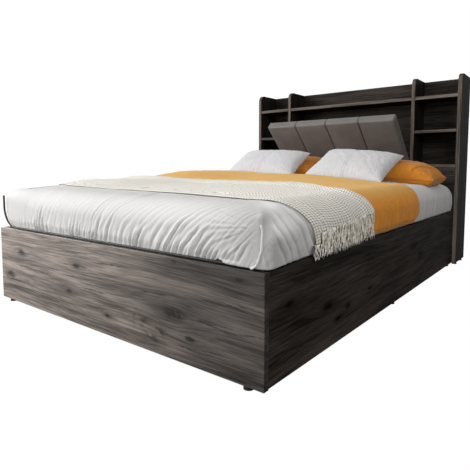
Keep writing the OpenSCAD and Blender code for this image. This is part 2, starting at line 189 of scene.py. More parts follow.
# ---------------------------------------------------------------- materials
class Mat:
    """Builds one node material; sockets and numbers can both be given as inputs."""

    def __init__(self, name, **shader):
        self.m = bpy.data.materials.new(name)
        self.m.use_nodes = True
        self.t = self.m.node_tree
        self.t.nodes.clear()
        self.out = self.t.nodes.new("ShaderNodeOutputMaterial")
        self.b = self.t.nodes.new("ShaderNodeBsdfPrincipled")
        self.t.links.new(self.b.outputs[0], self.out.inputs[0])
        for k, v in shader.items():
            self.b.inputs[k.replace("_", " ")].default_value = v
        self._coord = None

    def put(self, socket, v):
        if isinstance(v, bpy.types.NodeSocket):
            self.t.links.new(v, socket)
        elif v is not None:
            socket.default_value = v

    def node(self, kind, props=None, **inputs):
        n = self.t.nodes.new(kind)
        for k, v in (props or {}).items():
            setattr(n, k, v)
        for k, v in inputs.items():
            self.put(n.inputs[k.replace("_", " ")], v)
        return n

    def math(self, op, a, b=None, c=None, clamp=False):
        n = self.t.nodes.new("ShaderNodeMath")
        n.operation = op
        n.use_clamp = clamp
        for k, v in enumerate((a, b, c)):
            if v is not None:
                self.put(n.inputs[k], v)
        return n.outputs[0]

    def vmath(self, op, a, b=None, c=None):
        n = self.t.nodes.new("ShaderNodeVectorMath")
        n.operation = op
        for k, v in enumerate((a, b, c)):
            if v is not None:
                if k == 1 and op == "SCALE":
                    self.put(n.inputs["Scale"], v)
                else:
                    self.put(n.inputs[k], v)
        return n.outputs["Value"] if op in ("DISTANCE", "LENGTH", "DOT_PRODUCT") else n.outputs["Vector"]

    def mix(self, f, a, b, blend="MIX"):
        n = self.t.nodes.new("ShaderNodeMix")
        n.data_type = "RGBA"
        n.blend_type = blend
        self.put(n.inputs[0], f)
        self.put(n.inputs[6], col(a))
        self.put(n.inputs[7], col(b))
        return n.outputs[2]

    def ramp(self, f, stops, mode="LINEAR"):
        n = self.t.nodes.new("ShaderNodeValToRGB")
        cr = n.color_ramp
        cr.interpolation = mode
        while len(cr.elements) < len(stops):
            cr.elements.new(0.5)
        for e, (p, c) in zip(cr.elements, stops):
            e.position = p
            e.color = col(c) if isinstance(c, (tuple, list)) else (c, c, c, 1)
        self.put(n.inputs[0], f)
        return n.outputs[0]

    def range(self, v, a, b, c=0.0, d=1.0, smooth=True):
        n = self.t.nodes.new("ShaderNodeMapRange")
        n.interpolation_type = "SMOOTHSTEP" if smooth else "LINEAR"
        for k, x in enumerate((v, a, b, c, d)):
            self.put(n.inputs[k], x)
        return n.outputs[0]

    def xyz(self, x, y, z):
        n = self.t.nodes.new("ShaderNodeCombineXYZ")
        for k, v in enumerate((x, y, z)):
            self.put(n.inputs[k], v)
        return n.outputs[0]

    def split(self, v):
        n = self.t.nodes.new("ShaderNodeSeparateXYZ")
        self.put(n.inputs[0], v)
        return n.outputs

    def coord(self, kind="Object"):
        if self._coord is None:
            self._coord = self.t.nodes.new("ShaderNodeTexCoord")
        return self._coord.outputs[kind]

    def noise(self, v, scale=5.0, detail=2.0, rough=0.5, distortion=0.0, color=False):
        n = self.t.nodes.new("ShaderNodeTexNoise")
        self.put(n.inputs["Vector"], v)
        n.inputs["Scale"].default_value = scale
        n.inputs["Detail"].default_value = detail
        n.inputs["Roughness"].default_value = rough
        n.inputs["Distortion"].default_value = distortion
        return n.outputs["Color" if color else "Fac"]

    def bump(self, height, strength=0.5, distance=0.001, normal=None):
        n = self.t.nodes.new("ShaderNodeBump")
        n.inputs["Strength"].default_value = strength
        n.inputs["Distance"].default_value = distance
        self.put(n.inputs["Height"], height)
        if normal is not None:
            self.t.links.new(normal, n.inputs["Normal"])
        return n.outputs[0]

    def done(self, **links):
        for k, v in links.items():
            self.put(self.b.inputs[k.replace("_", " ")], v)
        return self.m


def col(c):
    if isinstance(c, bpy.types.NodeSocket):
        return c
    return (c[0], c[1], c[2], 1.0)


def srgb(h):
    """Linear colour from an sRGB hex string."""
    out = []
    for k in (0, 2, 4):
        v = int(h[k:k + 2], 16) / 255
        out.append(v / 12.92 if v <= 0.04045 else ((v + 0.055) / 1.055) ** 2.4)
    return tuple(out)


def oak(name, grain="X", tone=1.0, warm=1.0, seed=(0.0, 0.0, 0.0), knots=(), cracks=(), burls=(), rough=0.46, spec=0.5, painted_shade_fade=None, edge=None, gain=1.0, ends=None):
    """Grey-brown oak laminate. grain is the axis that the fibres follow; knots and burls are (along, across, size) and
    cracks (along, across, half length, slope) in metres on the board's face. fade is (from, to, tone there) along the
    grain: painted shade that darkens the board towards one end. edge is painted shade: faces not turned to the front
    are darkened to one part in edge of their tone. ends is painted shade: faces turned along X lose that share of their
    tone."""
    g = Mat(name, Roughness=rough, Specular_IOR_Level=spec)
    x, y, z = g.split(g.coord())
    u, v, w = {"X": (x, z, y), "Y": (y, z, x), "Z": (z, x, y)}[grain]
    sx, sy, sz = seed
    v0 = v
    # fibres flow around the knots
    halo = None
    eye = None
    for (ku, kv, ks) in knots:
        du = g.math("MULTIPLY", g.math("SUBTRACT", u, ku), 0.38)
        dv = g.math("SUBTRACT", v0, kv)
        r = g.math("DIVIDE", g.math("SQRT", g.math("ADD", g.math("MULTIPLY", du, du), g.math("MULTIPLY", dv, dv))), ks)
        f = g.math("POWER", 2.718, g.math("MULTIPLY", g.math("MULTIPLY", r, r), -0.55))
        push = g.math("MULTIPLY", g.math("MULTIPLY", dv, f), -0.62)
        v = g.math("ADD", v, push)
        halo = f if halo is None else g.math("MAXIMUM", halo, f)
        e = g.range(r, 0.72, 0.26)
        eye = e if eye is None else g.math("MAXIMUM", eye, e)
    wave = g.noise(g.xyz(g.math("MULTIPLY_ADD", u, 1.6, sx), g.math("MULTIPLY_ADD", v, 4.0, sy), g.math("ADD", w, sz)), 1.0, 2.0, 0.5)
    vv = g.math("MULTIPLY_ADD", g.math("SUBTRACT", wave, 0.5), 0.044, v)
    p = lambda su, sv: g.xyz(g.math("MULTIPLY_ADD", u, su, sx * 3), g.math("MULTIPLY_ADD", vv, sv, sy * 7), g.math("MULTIPLY_ADD", w, sv, sz * 5))
    fine = g.noise(p(9, 460), 1.0, 3.0, 0.62)
    mid = g.noise(p(5.0, 150), 1.0, 5.0, 0.66, 0.4)
    broad = g.noise(p(1.7, 24), 1.0, 4.0, 0.6, 0.7)
    patch = g.noise(p(1.5, 6), 1.0, 2.0, 0.5)
    pores = g.range(g.noise(p(16, 620), 1.0, 2.0, 0.5), 0.62, 0.76)
    streak = g.range(g.noise(p(4.6, 105), 1.0, 5.0, 0.70, 0.6), 0.585, 0.675)
    t = g.math("MULTIPLY_ADD", broad, 0.50, g.math("MULTIPLY_ADD", mid, 0.52, g.math("MULTIPLY", fine, 0.36)))
    t = g.math("MULTIPLY_ADD", patch, 0.24, g.math("SUBTRACT", t, 0.31))
    t = g.math("MULTIPLY_ADD", g.math("SUBTRACT", t, 0.5), 1.12 * gain, 0.5)
    k = tone
    col = lambda a: (a * k, a * 0.885 * k * warm, a * 0.815 * k * warm * warm)
    base = g.ramp(t, [(0.28, col(0.042)), (0.40, col(0.105)), (0.50, col(0.195)), (0.60, col(0.290)), (0.72, col(0.410))])
    dark = (0.024 * k, 0.019 * k, 0.016 * k)
    base = g.mix(g.math("MULTIPLY", streak, 0.70), base, dark)
    base = g.mix(g.math("MULTIPLY", pores, 0.46), base, dark)
    line = None
    if cracks:
        wob = g.math("MULTIPLY", g.math("SUBTRACT", g.noise(g.xyz(g.math("MULTIPLY", u, 5.5), g.math("MULTIPLY", v0, 9.0), sz), 1.0, 2.0, 0.5), 0.5), 0.030)
        bent = g.math("ADD", v0, wob)
        wide = g.math("MULTIPLY_ADD", g.noise(g.xyz(g.math("MULTIPLY", u, 26.0), g.math("MULTIPLY", v0, 9.0), 1.0), 1.0, 3.0, 0.6), 0.0105, -0.0012)
        wide = g.math("MAXIMUM", wide, 0.0006)
    for (cu, cv, half, slope) in cracks:
        du = g.math("SUBTRACT", u, cu)
        dv = g.math("ABSOLUTE", g.math("SUBTRACT", bent, g.math("MULTIPLY_ADD", du, slope, cv)))
        f = g.math("MULTIPLY", g.range(g.math("DIVIDE", dv, wide), 1.0, 0.1), g.range(g.math("ABSOLUTE", du), half, half * 0.4))
        line = f if line is None else g.math("MAXIMUM", line, f)
    if cracks:
        line = g.math("MULTIPLY", line, g.range(g.noise(g.xyz(g.math("MULTIPLY", u, 60.0), g.math("MULTIPLY", v0, 300.0), sx), 1.0, 3.0, 0.6), 0.36, 0.55, 0.3, 1.0))
    burl = None
    for (bu_, bv_, bs_) in burls:
        du = g.math("MULTIPLY", g.math("SUBTRACT", u, bu_), 0.62)
        dv = g.math("SUBTRACT", v0, bv_)
        r = g.math("DIVIDE", g.math("SQRT", g.math("ADD", g.math("MULTIPLY", du, du), g.math("MULTIPLY", dv, dv))), bs_)
        e = g.range(r, 1.0, 0.15)
        burl = e if burl is None else g.math("MAXIMUM", burl, e)
    if halo is not None:
        base = g.mix(g.math("MULTIPLY", g.math("MULTIPLY", halo, g.range(mid, 0.40, 0.58)), 0.90), base, dark)
        ragged = g.math("MULTIPLY", eye, g.range(g.noise(p(30, 90), 1.0, 3.0, 0.7), 0.28, 0.52))
        base = g.mix(g.math("MULTIPLY", ragged, 0.92), base, (0.010 * k, 0.008 * k, 0.007 * k))
    if burl is not None:
        soft_b = g.math("MULTIPLY", burl, g.range(g.noise(g.xyz(g.math("MULTIPLY", u, 14.0), g.math("MULTIPLY", v0, 30.0), sz), 1.0, 3.0, 0.6), 0.40, 0.62))
        base = g.mix(g.math("MULTIPLY", soft_b, 0.78), base, dark)
        rag = g.math("MULTIPLY", soft_b, g.range(g.noise(g.xyz(g.math("MULTIPLY", u, 70.0), g.math("MULTIPLY", v0, 150.0), sz), 1.0, 5.0, 0.75), 0.44, 0.60))
        base = g.mix(g.math("MULTIPLY", rag, 0.95), base, (0.012 * k, 0.010 * k, 0.009 * k))
    if line is not None:
        base = g.mix(g.math("MULTIPLY", line, 0.80), base, (0.012 * k, 0.010 * k, 0.009 * k))
    # painted shade: the colour darkens along the grain towards one end, down to the given share of its tone
    if painted_shade_fade is not None:
        lo, hi, there = painted_shade_fade
        base = g.mix(g.range(u, lo, hi, 0.0, 1.0 - there), base, (0.0, 0.0, 0.0))
    # painted shade: faces not turned to the front are darkened to one part in edge
    if edge is not None:
        nx, ny, nz = g.split(g.coord("Normal"))
        face = g.range(ny, -0.92, -0.55)
        base = g.mix(g.math("MULTIPLY", face, 1.0 - 1.0 / edge), base, (0.0, 0.0, 0.0))
    # painted shade: faces turned along X are darkened by the share given in ends
    if ends is not None:
        ex, ey, ez = g.split(g.coord("Normal"))
        side = g.range(g.math("ABSOLUTE", ex), 0.6, 0.95)
        base = g.mix(g.math("MULTIPLY", side, 1.0 - ends), base, (0.0, 0.0, 0.0))
    h = g.math("MULTIPLY_ADD", fine, 0.35, g.math("MULTIPLY", mid, 0.5))
    h = g.math("SUBTRACT", h, g.math("MULTIPLY", pores, 0.3))
    if line is not None:
        h = g.math("SUBTRACT", h, g.math("MULTIPLY", line, 0.8))
    return g.done(Base_Color=base, Normal=g.bump(h, 0.35, 0.0006),
                  Roughness=g.range(mid, 0.3, 0.7, rough - 0.05, rough + 0.08))


def ply(name, grain="X"):
    g = Mat(name, Roughness=0.6)
    x, y, z = g.split(g.coord())
    u, v, w = {"X": (x, z, y), "Y": (y, z, x)}[grain]
    a = g.noise(g.xyz(g.math("MULTIPLY", u, 2.5), g.math("MULTIPLY", v, 60), g.math("MULTIPLY", w, 70)), 1.0, 4.0, 0.6, 0.8)
    b = g.noise(g.xyz(g.math("MULTIPLY", u, 9.0), g.math("MULTIPLY", v, 400), g.math("MULTIPLY", w, 420)), 1.0, 2.0, 0.6)
    t = g.math("MULTIPLY_ADD", a, 0.7, g.math("MULTIPLY", b, 0.3))
    plies = g.math("FRACT", g.math("MULTIPLY", z, 420.0))
    c = g.ramp(t, [(0.3, srgb("a88659")), (0.5, srgb("c9a878")), (0.7, srgb("dcc196"))])
    c = g.mix(g.math("MULTIPLY", g.range(plies, 0.42, 0.5), 0.12), c, srgb("7d5f3c"))
    return g.done(Base_Color=c, Normal=g.bump(t, 0.2, 0.0005))


def metal(name, color, rough=0.4, metallic=0.0, grain=0.25, coat=0.0):
    g = Mat(name, Metallic=metallic, Coat_Weight=coat, Coat_Roughness=0.25)
    p = g.coord()
    a = g.noise(p, 900.0, 2.0, 0.5)
    b = g.noise(p, 26.0, 4.0, 0.6)
    lo, hi = [v * 0.86 for v in color], [min(1, v * 1.16 + 0.002) for v in color]
    return g.done(Base_Color=g.mix(g.range(b, 0.3, 0.7), tuple(lo), tuple(hi)),
                  Roughness=g.range(b, 0.3, 0.7, rough - 0.06, rough + 0.08), Normal=g.bump(a, grain, 0.0003))


def plastic(name, color, rough=0.5):
    g = Mat(name)
    p = g.coord()
    a = g.noise(p, 1500.0, 2.0, 0.5)
    b = g.noise(p, 40.0, 3.0, 0.6)
    return g.done(Base_Color=g.mix(b, tuple(v * 0.8 for v in color), tuple(v * 1.25 for v in color)),
                  Roughness=g.range(b, 0.3, 0.7, rough - 0.05, rough + 0.1), Normal=g.bump(a, 0.2, 0.0002))


def cloth(name, color, shade=0.88, thread=0.0011, rough=0.85, sheen=0.25, weave=0.35, slub=0.5, tint=None, plane="XY"):
    """Plain woven cloth in the object's own coordinates: threads both ways, slubs, and a soft sheen."""
    g = Mat(name, Roughness=rough, Sheen_Weight=sheen, Sheen_Roughness=0.5, Specular_IOR_Level=0.25)
    p = g.coord()
    x, y, z = g.split(p)
    # threads run along X, and along Y on top or Z down a side
    long = g.math("ADD", g.math("MULTIPLY", y, 1.0), g.math("MULTIPLY", z, 1.0))
    cross = g.math("ADD", x, g.math("MULTIPLY", g.math("SUBTRACT", y, z), 0.35)) if plane == "side" else x
    k = 2 * math.pi / (thread * 2)
    a = g.math("SINE", g.math("MULTIPLY", cross, k))
    b = g.math("SINE", g.math("MULTIPLY", long, k))
    wv = g.math("MULTIPLY", a, b)
    s1 = g.noise(g.xyz(g.math("MULTIPLY", cross, 18.0), g.math("MULTIPLY", long, 700.0), 0.0), 1.0, 2.0, 0.5)
    s2 = g.noise(g.xyz(g.math("MULTIPLY", cross, 700.0), g.math("MULTIPLY", long, 18.0), 3.0), 1.0, 2.0, 0.5)
    sl = g.math("MULTIPLY", g.math("ADD", s1, s2), 0.5)
    soft = g.noise(p, 7.0, 3.0, 0.55)
    dark = tuple(c * shade for c in color)
    c = g.mix(g.range(sl, 0.35, 0.65), dark, color)
    c = g.mix(g.math("MULTIPLY", g.range(soft, 0.3, 0.7), 0.35), c, tint or tuple(v * 0.93 for v in color))
    h = g.math("MULTIPLY_ADD", wv, 0.4, g.math("MULTIPLY", sl, 2.0 * slub))
    return g.done(Base_Color=c, Normal=g.bump(h, weave, 0.0006))


# ---------------------------------------------------------------- camera, light, floor
cam_data = bpy.data.cameras.new("camera")
cam_data.sensor_fit = "HORIZONTAL"
cam_data.sensor_width = 36.0
cam_data.lens = 34.43
cam_data.shift_x = 0.0
cam_data.shift_y = -0.0689
cam_data.clip_start = 0.05
cam_data.clip_end = 100.0
cam_data.dof.use_dof = False
camera = bpy.data.objects.new("camera", cam_data)
scene.collection.objects.link(camera)
yaw, pitch = 0.666, 0.079
fwd = Vector((-math.sin(yaw) * math.cos(pitch), math.cos(yaw) * math.cos(pitch), -math.sin(pitch)))
right = Vector((math.cos(yaw), math.sin(yaw), 0.0))
up = right.cross(fwd)
camera.matrix_world = Matrix((
    (right.x, up.x, -fwd.x, 1.3604), (right.y, up.y, -fwd.y, -2.0739), (right.z, up.z, -fwd.z, 0.6013), (0, 0, 0, 1)))
scene.camera = camera

scene.view_settings.view_transform = "Standard"
scene.view_settings.look = "None"
scene.view_settings.exposure = 0.0
scene.view_settings.gamma = 1.0

world = bpy.data.worlds.new("studio")
scene.world = world
world.use_nodes = True
wt = world.node_tree
wt.nodes.clear()
w_out = wt.nodes.new("ShaderNodeOutputWorld")
w_bg = wt.nodes.new("ShaderNodeBackground")
w_co = wt.nodes.new("ShaderNodeTexCoord")
w_sp = wt.nodes.new("ShaderNodeSeparateXYZ")
w_mx = wt.nodes.new("ShaderNodeMapRange")
w_mz = wt.nodes.new("ShaderNodeMapRange")
w_mu = wt.nodes.new("ShaderNodeMath")
w_mx.interpolation_type = "SMOOTHSTEP"
for k, v in enumerate((0.55, -0.12, 0.10, 1.0)):
    w_mx.inputs[k + 1].default_value = v
for k, v in enumerate((-0.35, -0.04, 0.14, 1.01)):
    w_mz.inputs[k + 1].default_value = v
w_mu.operation = "MULTIPLY"
wt.links.new(w_co.outputs["Generated"], w_sp.inputs[0])
wt.links.new(w_sp.outputs[0], w_mx.inputs[0])
wt.links.new(w_sp.outputs[2], w_mz.inputs[0])
wt.links.new(w_mx.outputs[0], w_mu.inputs[0])
wt.links.new(w_mz.outputs[0], w_mu.inputs[1])
# less from overhead
w_hi = wt.nodes.new("ShaderNodeMapRange")
w_hi.interpolation_type = "SMOOTHSTEP"
for k, v in enumerate((0.48, 0.85, 1.0, 0.55)):
    w_hi.inputs[k + 1].default_value = v
w_m2 = wt.nodes.new("ShaderNodeMath")
w_m2.operation = "MULTIPLY"
wt.links.new(w_sp.outputs[2], w_hi.inputs[0])
wt.links.new(w_mu.outputs[0], w_m2.inputs[0])
wt.links.new(w_hi.outputs[0], w_m2.inputs[1])
wt.links.new(w_m2.outputs[0], w_bg.inputs["Strength"])
w_bg.inputs["Color"].default_value = (1.0, 1.0, 1.0, 1.0)
wt.links.new(w_bg.outputs[0], w_out.inputs[0])


def area_light(name, at, to, size, power, color=(1.0, 1.0, 1.0), spread=180.0):
    d = bpy.data.lights.new(name, "AREA")
    d.shape = "RECTANGLE"
    d.size, d.size_y = size
    d.energy = power
    d.color = color
    d.spread = math.radians(spread)
    o = bpy.data.objects.new(name, d)
    scene.collection.objects.link(o)
    o.location = at
    o.rotation_euler = (Vector(to) - Vector(at)).to_track_quat("-Z", "Y").to_euler()
    o.visible_camera = False
    return o


area_light("window", (-2.6, -2.3, 1.7), (-0.5, -0.6, 0.3), (1.6, 1.8), 82.0)
area_light("ceiling", (-0.8, 0.2, 3.2), (0.0, 0.1, 0.5), (3.0, 3.0), 8.0)
area_light("right_fill", (3.1, -2.5, 2.1), (0.5, 0.1, 0.35), (2.0, 1.8), 64.0)

floor_m = Mat("floor_white", Roughness=0.9, Specular_IOR_Level=0.0)
floor_m.b.inputs["Emission Strength"].default_value = 0.98
floor_m.b.inputs["Emission Color"].default_value = (1.0, 1.0, 1.0, 1.0)
floor_white = floor_m.done(Base_Color=floor_m.mix(floor_m.noise(floor_m.coord(), 0.4, 2.0), (0.050, 0.050, 0.050), (0.055, 0.055, 0.055)))
floor = mesh_object("floor", [(-30, -30, 0), (30, -30, 0), (30, 30, 0), (-30, 30, 0)], [(0, 1, 2, 3)], smooth_faces=False)
floor.data.materials.append(floor_white)
floor.visible_diffuse = False
floor.visible_glossy = False


# ---------------------------------------------------------------- finishes of the CAD parts
mm = lambda a, b, s: ((a) / 1000.0, (b) / 1000.0, s / 1000.0)
FOOT_KNOTS = [mm(391, 157, 36), mm(-180, 130, 15), mm(394, 318, 11), mm(-128, 233, 16), mm(-544, 237, 22), mm(-648, 130, 13),
              mm(457, 93, 15), mm(60, 82, 11), mm(640, 300, 10)]
FOOT_BURLS = [mm(192, 112, 44), mm(300, 80, 52), mm(-645, 120, 34), mm(250, 100, 30)]
FOOT_CRACKS = [(0.630, 0.221, 0.105, -0.14), (0.560, 0.150, 0.115, -0.03), (0.690, 0.154, 0.070, 0.03), (-0.140, 0.232, 0.125, -0.03),
               (0.300, 0.205, 0.085, 0.05), (-0.480, 0.180, 0.110, 0.03), (0.060, 0.262, 0.120, 0.02), (-0.62, 0.108, 0.09, 0.0),
               (0.470, 0.060, 0.110, 0.03), (-0.30, 0.075, 0.13, 0.02), (-0.02, 0.160, 0.10, 0.03)]
SIDE_KNOTS = [(0.369 - OY, 0.154, 0.020), (0.524 - OY, 0.115, 0.017), (0.445 - OY, 0.093, 0.012), (0.133 - OY, 0.218, 0.018),
              (1.375 - OY, 0.169, 0.020), (1.271 - OY, 0.224, 0.014), (0.725 - OY, 0.136, 0.013)]
SIDE_CRACKS = [(0.62 - OY, 0.250, 0.16, 0.02), (1.02 - OY, 0.110, 0.20, -0.02), (1.60 - OY, 0.200, 0.18, 0.01), (0.25 - OY, 0.075, 0.12, 0.03)]

M = {}
# one oak laminate in lit and shaded copies: the side panels and the headboard's insides take a far lower tone than the
# foot panel, painted shade; the foot panel is painted darker towards its right end and on its end faces, and the
# shelves and uprights are painted darker on faces not turned to the front
M["foot"] = oak("oak_foot", "X", 1.56, 0.945, (2.3, 0.7, 0.1), FOOT_KNOTS, FOOT_CRACKS, FOOT_BURLS, painted_shade_fade=(-0.40, 0.74, 0.27), gain=1.2, ends=0.45)
M["side"] = oak("oak_side_painted_shade", "Y", 0.185, 0.93, (5.1, 1.9, 0.4), SIDE_KNOTS, SIDE_CRACKS, rough=0.6, spec=0.03, gain=1.2)
M["shelf"] = oak("oak_shelf", "X", 0.64, 0.93, (7.7, 3.1, 2.2), rough=0.55, spec=0.06, edge=6.5)
M["upright"] = oak("oak_upright", "Z", 0.64, 0.93, (1.2, 8.4, 3.6), rough=0.55, spec=0.06, edge=6.0)
M["inner"] = oak("oak_inner_painted_shade", "X", 0.18, 0.93, (4.4, 5.2, 6.1), rough=0.6, spec=0.05, gain=1.2)
M["carcass"] = oak("oak_carcass", "X", 0.42, 0.96, (3.4, 2.2, 1.1), rough=0.55, spec=0.35)
M["ply_x"] = ply("birch_ply_x", "X")
M["ply_y"] = ply("birch_ply_y", "Y")
M["steel"] = metal("black_steel", (0.020, 0.020, 0.022), rough=0.42, grain=0.3)
M["bar_black"] = metal("black_bar", (0.006, 0.006, 0.006), rough=0.55, grain=0.3)
M["zinc"] = metal("zinc", (0.56, 0.57, 0.60), rough=0.32, metallic=1.0, grain=0.1)
M["black"] = plastic("black_plastic", (0.022, 0.022, 0.023), rough=0.55)

FINISH = {
    "foot": "foot_panel",
    "side": "left_side_panel right_side_panel",
    "shelf": "top_shelf_left top_shelf_middle top_shelf_right bay_middle_shelves bay_bottom_shelves",
    "upright": "left_cheek right_cheek left_upright right_upright",
    "inner": "back_panel back_upstand bay_lower_panels middle_lower_panel compartment_floor",
    "carcass": "head_end_panel centre_divider cross_divider floor_boards floor_battens side_bearers foot_bearer",
    "ply_x": "slats",
    "ply_y": "flap_board",
    "steel": "side_tubes end_tubes centre_tube cross_tubes lift_brackets gas_brackets bar_brackets lift_mount_plates "
             "lift_links guide_links gas_cylinders",
    "bar_black": "retaining_bar",
    "zinc": "corner_brackets bracket_screws headboard_bolts flap_pivot_plates flap_pivot_pins gas_rods",
    "black": "glide_feet slat_holders",
}
for key, names in FINISH.items():
    for n in names.split():
        for s in NODES[n].material_slots:
            s.material = M[key]


# ---------------------------------------------------------------- fitted sheet
WS, FY, HY, RS = 701.0, 27.0, 2036.0, 78.0      # sheet's sides, foot end, head end, shoulder radius
HEM = 337.0
BAR_X, BAR_Y, BAR_Z, BAR_R, BAR_TOP = 703.0, 10.0, 337.0, 90.0, 475.0


def smin(a, b, k):
    h = np.clip(0.5 + 0.5 * (b - a) / k, 0, 1)
    return b * (1 - h) + a * h - k * h * (1 - h)


def crown(x, y):
    """How far the mattress's middle stands above its edges."""
    d = smin(WS - np.abs(x), y - FY, 120.0)
    d = smin(d, (HY - y) * 1.3, 120.0)
    left = smooth(-60, -420, x)
    return 20 * smooth(-30, 330, d) * (1 - left) + 32 * smooth(-30, 245, d) * left


def duvet_t(x, y):
    """Thickness of the folded blanket, from its underside on the sheet to its top."""
    fx = np.where(x > 0, 1 - smooth(60, 560, x), 1 - smooth(580, 720, -x))
    left = smooth(-20, -380, x)
    rise = smooth(760, 1180, y) * (1 - left) + smooth(620, 960, y) * left
    return 8 + (30 + 6 * left) * fx * (0.06 + 0.94 * rise)


def belly(y, right):
    """How far the mattress's sides press out over the box."""
    b = 15 - 4 * smooth(1300, 1520, y)
    return np.where(right, b, b * smooth(60, 300, y))


def belly_at(z, t):
    """Its share at a height, and over the shoulder where t runs from 1 at the side to 0 on top."""
    return (0.84 + 0.16 * smooth(337, 385, z)) * np.clip(t, 0, 1) ** 0.8


def corner_path(cx, cy, r, a0, n):
    a = np.radians(a0 + 90 * np.linspace(0, 1, n + 1)[:-1])
    return np.stack([cx + r * np.cos(a), cy + r * np.sin(a)], -1), np.stack([np.cos(a), np.sin(a)], -1)


def line_path(p, q, nrm, n):
    t = np.linspace(0, 1, n + 1)[:-1, None]
    p, q = np.array(p, float), np.array(q, float)
    return p + (q - p) * t, np.broadcast_to(np.array(nrm, float), (n, 2))


# the sheet's outline at its widest, with the outward direction of each point
rf, rl, rh = 40.0, 20.0, 26.0
segs = [line_path((-WS + rl, FY), (WS - rf, FY), (0, -1), 390), corner_path(WS - rf, FY + rf, rf, -90, 26),
        line_path((WS, FY + rf), (WS, 330), (1, 0), 62), line_path((WS, 330), (WS, 1250), (1, 0), 70),
        line_path((WS, 1250), (WS, HY - rh), (1, 0), 110), corner_path(WS - rh, HY - rh, rh, 0, 14),
        line_path((WS - rh, HY), (-WS + rh, HY), (0, 1), 110), corner_path(-WS + rh, HY - rh, rh, 90, 12),
        line_path((-WS, HY - rh), (-WS, FY + rl), (-1, 0), 240), corner_path(-WS + rl, FY + rl, rl, 180, 16)]
ring = np.concatenate([s[0] for s in segs])
rn = np.concatenate([s[1] for s in segs])
NR = len(ring)

# heights up the side from the hem, over the shoulder and inwards
H0, ARC = 500 - RS - HEM, RS * math.pi / 2
s_side = np.concatenate([np.linspace(0, H0, 25)[:-1], H0 + np.linspace(0, ARC, 32)[:-1]])
s_top = H0 + ARC + np.concatenate([np.linspace(0, 230, 42)[:-1], np.linspace(230, 701 - RS - 0.5, 40)])
S = np.concatenate([s_side, s_top])
NS = len(S)
SS = np.ones((NR, 1)) * S[None, :]
NX, NY = rn[:, :1] * np.ones((1, NS)), rn[:, 1:] * np.ones((1, NS))
th = np.clip((SS - H0) / RS, 0, math.pi / 2)
# squarer shoulders at the left foot corner
sq = (smooth(-430, -650, ring[:, 0]) * smooth(420, 180, ring[:, 1]))[:, None]
ex = 1.0 / (1.0 + 1.0 * sq)
inset = RS * (1 - np.cos(th) ** ex) + np.maximum(SS - H0 - ARC, 0)
Z = HEM + np.minimum(SS, H0) + RS * np.sin(th) ** ex
lim_x, lim_y0, lim_y1 = WS - inset, FY + inset, HY - inset
X = np.clip(ring[:, :1] - NX * inset, -lim_x, lim_x)
Y = np.clip(ring[:, 1:] - NY * inset, lim_y0, lim_y1)
foot = smooth(0.2, 0.9, -NY)                      # 1 on the foot end
side_r = smooth(0.2, 0.9, NX)
side_l = smooth(0.2, 0.9, -NX)
head = smooth(0.2, 0.9, NY)
Z = Z + crown(X, Y) * smooth(0, math.pi / 2, th)

# the left foot corner is rounded like the bar's bend beside it
cut = 74 - np.sqrt(np.clip(74.0 ** 2 - np.clip(411 - Z, 0, 74) ** 2, 0, None))
X = X + cut * 0.9 * smooth(-560, -690, X) * smooth(230, 60, Y)

# hem drawn in, sides full
tuck = 9 * (1 - smooth(0, 48, SS)) * 0.35 * (1 - side_r) * (1 - foot)
full = 3.0 * np.sin(np.clip(SS / (H0 + 30), 0, 1) * math.pi) * (0.4 + 0.6 * side_r) + 12.5 * foot * (0.60 + 0.40 * smooth(0, 34, SS)) * np.clip(np.cos(th), 0, 1) ** 0.8
X, Y = X + NX * (full - tuck), Y + NY * (full - tuck)
X = X + np.sign(X) * belly(Y, X > 0) * belly_at(Z, np.cos(th)) * np.maximum(side_r, side_l)


def hull2(pts):
    """Convex outline of points in the plane."""
    pts = sorted(map(tuple, pts))
    out = []
    for seq in (pts, pts[::-1]):
        h = []
        for p in seq:
            while len(h) > 1 and (h[-1][0] - h[-2][0]) * (p[1] - h[-2][1]) - (h[-1][1] - h[-2][1]) * (p[0] - h[-2][0]) <= 0:
                h.pop()
            h.append(p)
        out += h[:-1]
    return np.array(out)


def cast(centre, dirs, poly):
    """Distance from centre along each direction to a closed outline around it."""
    a, b = poly, np.roll(poly, -1, axis=0)
    e = b - a
    w = a - centre
    den = dirs[:, :1] * e[None, :, 1] - dirs[:, 1:] * e[None, :, 0]
    den = np.where(np.abs(den) < 1e-9, 1e-9, den)
    t = (w[None, :, 0] * e[None, :, 1] - w[None, :, 1] * e[None, :, 0]) / den
    u = (w[None, :, 0] * dirs[:, 1:] - w[None, :, 1] * dirs[:, :1]) / den
    ok = (u > -1e-6) & (u < 1 + 1e-6) & (t > 0)
    return np.where(ok, t, 0).max(1)


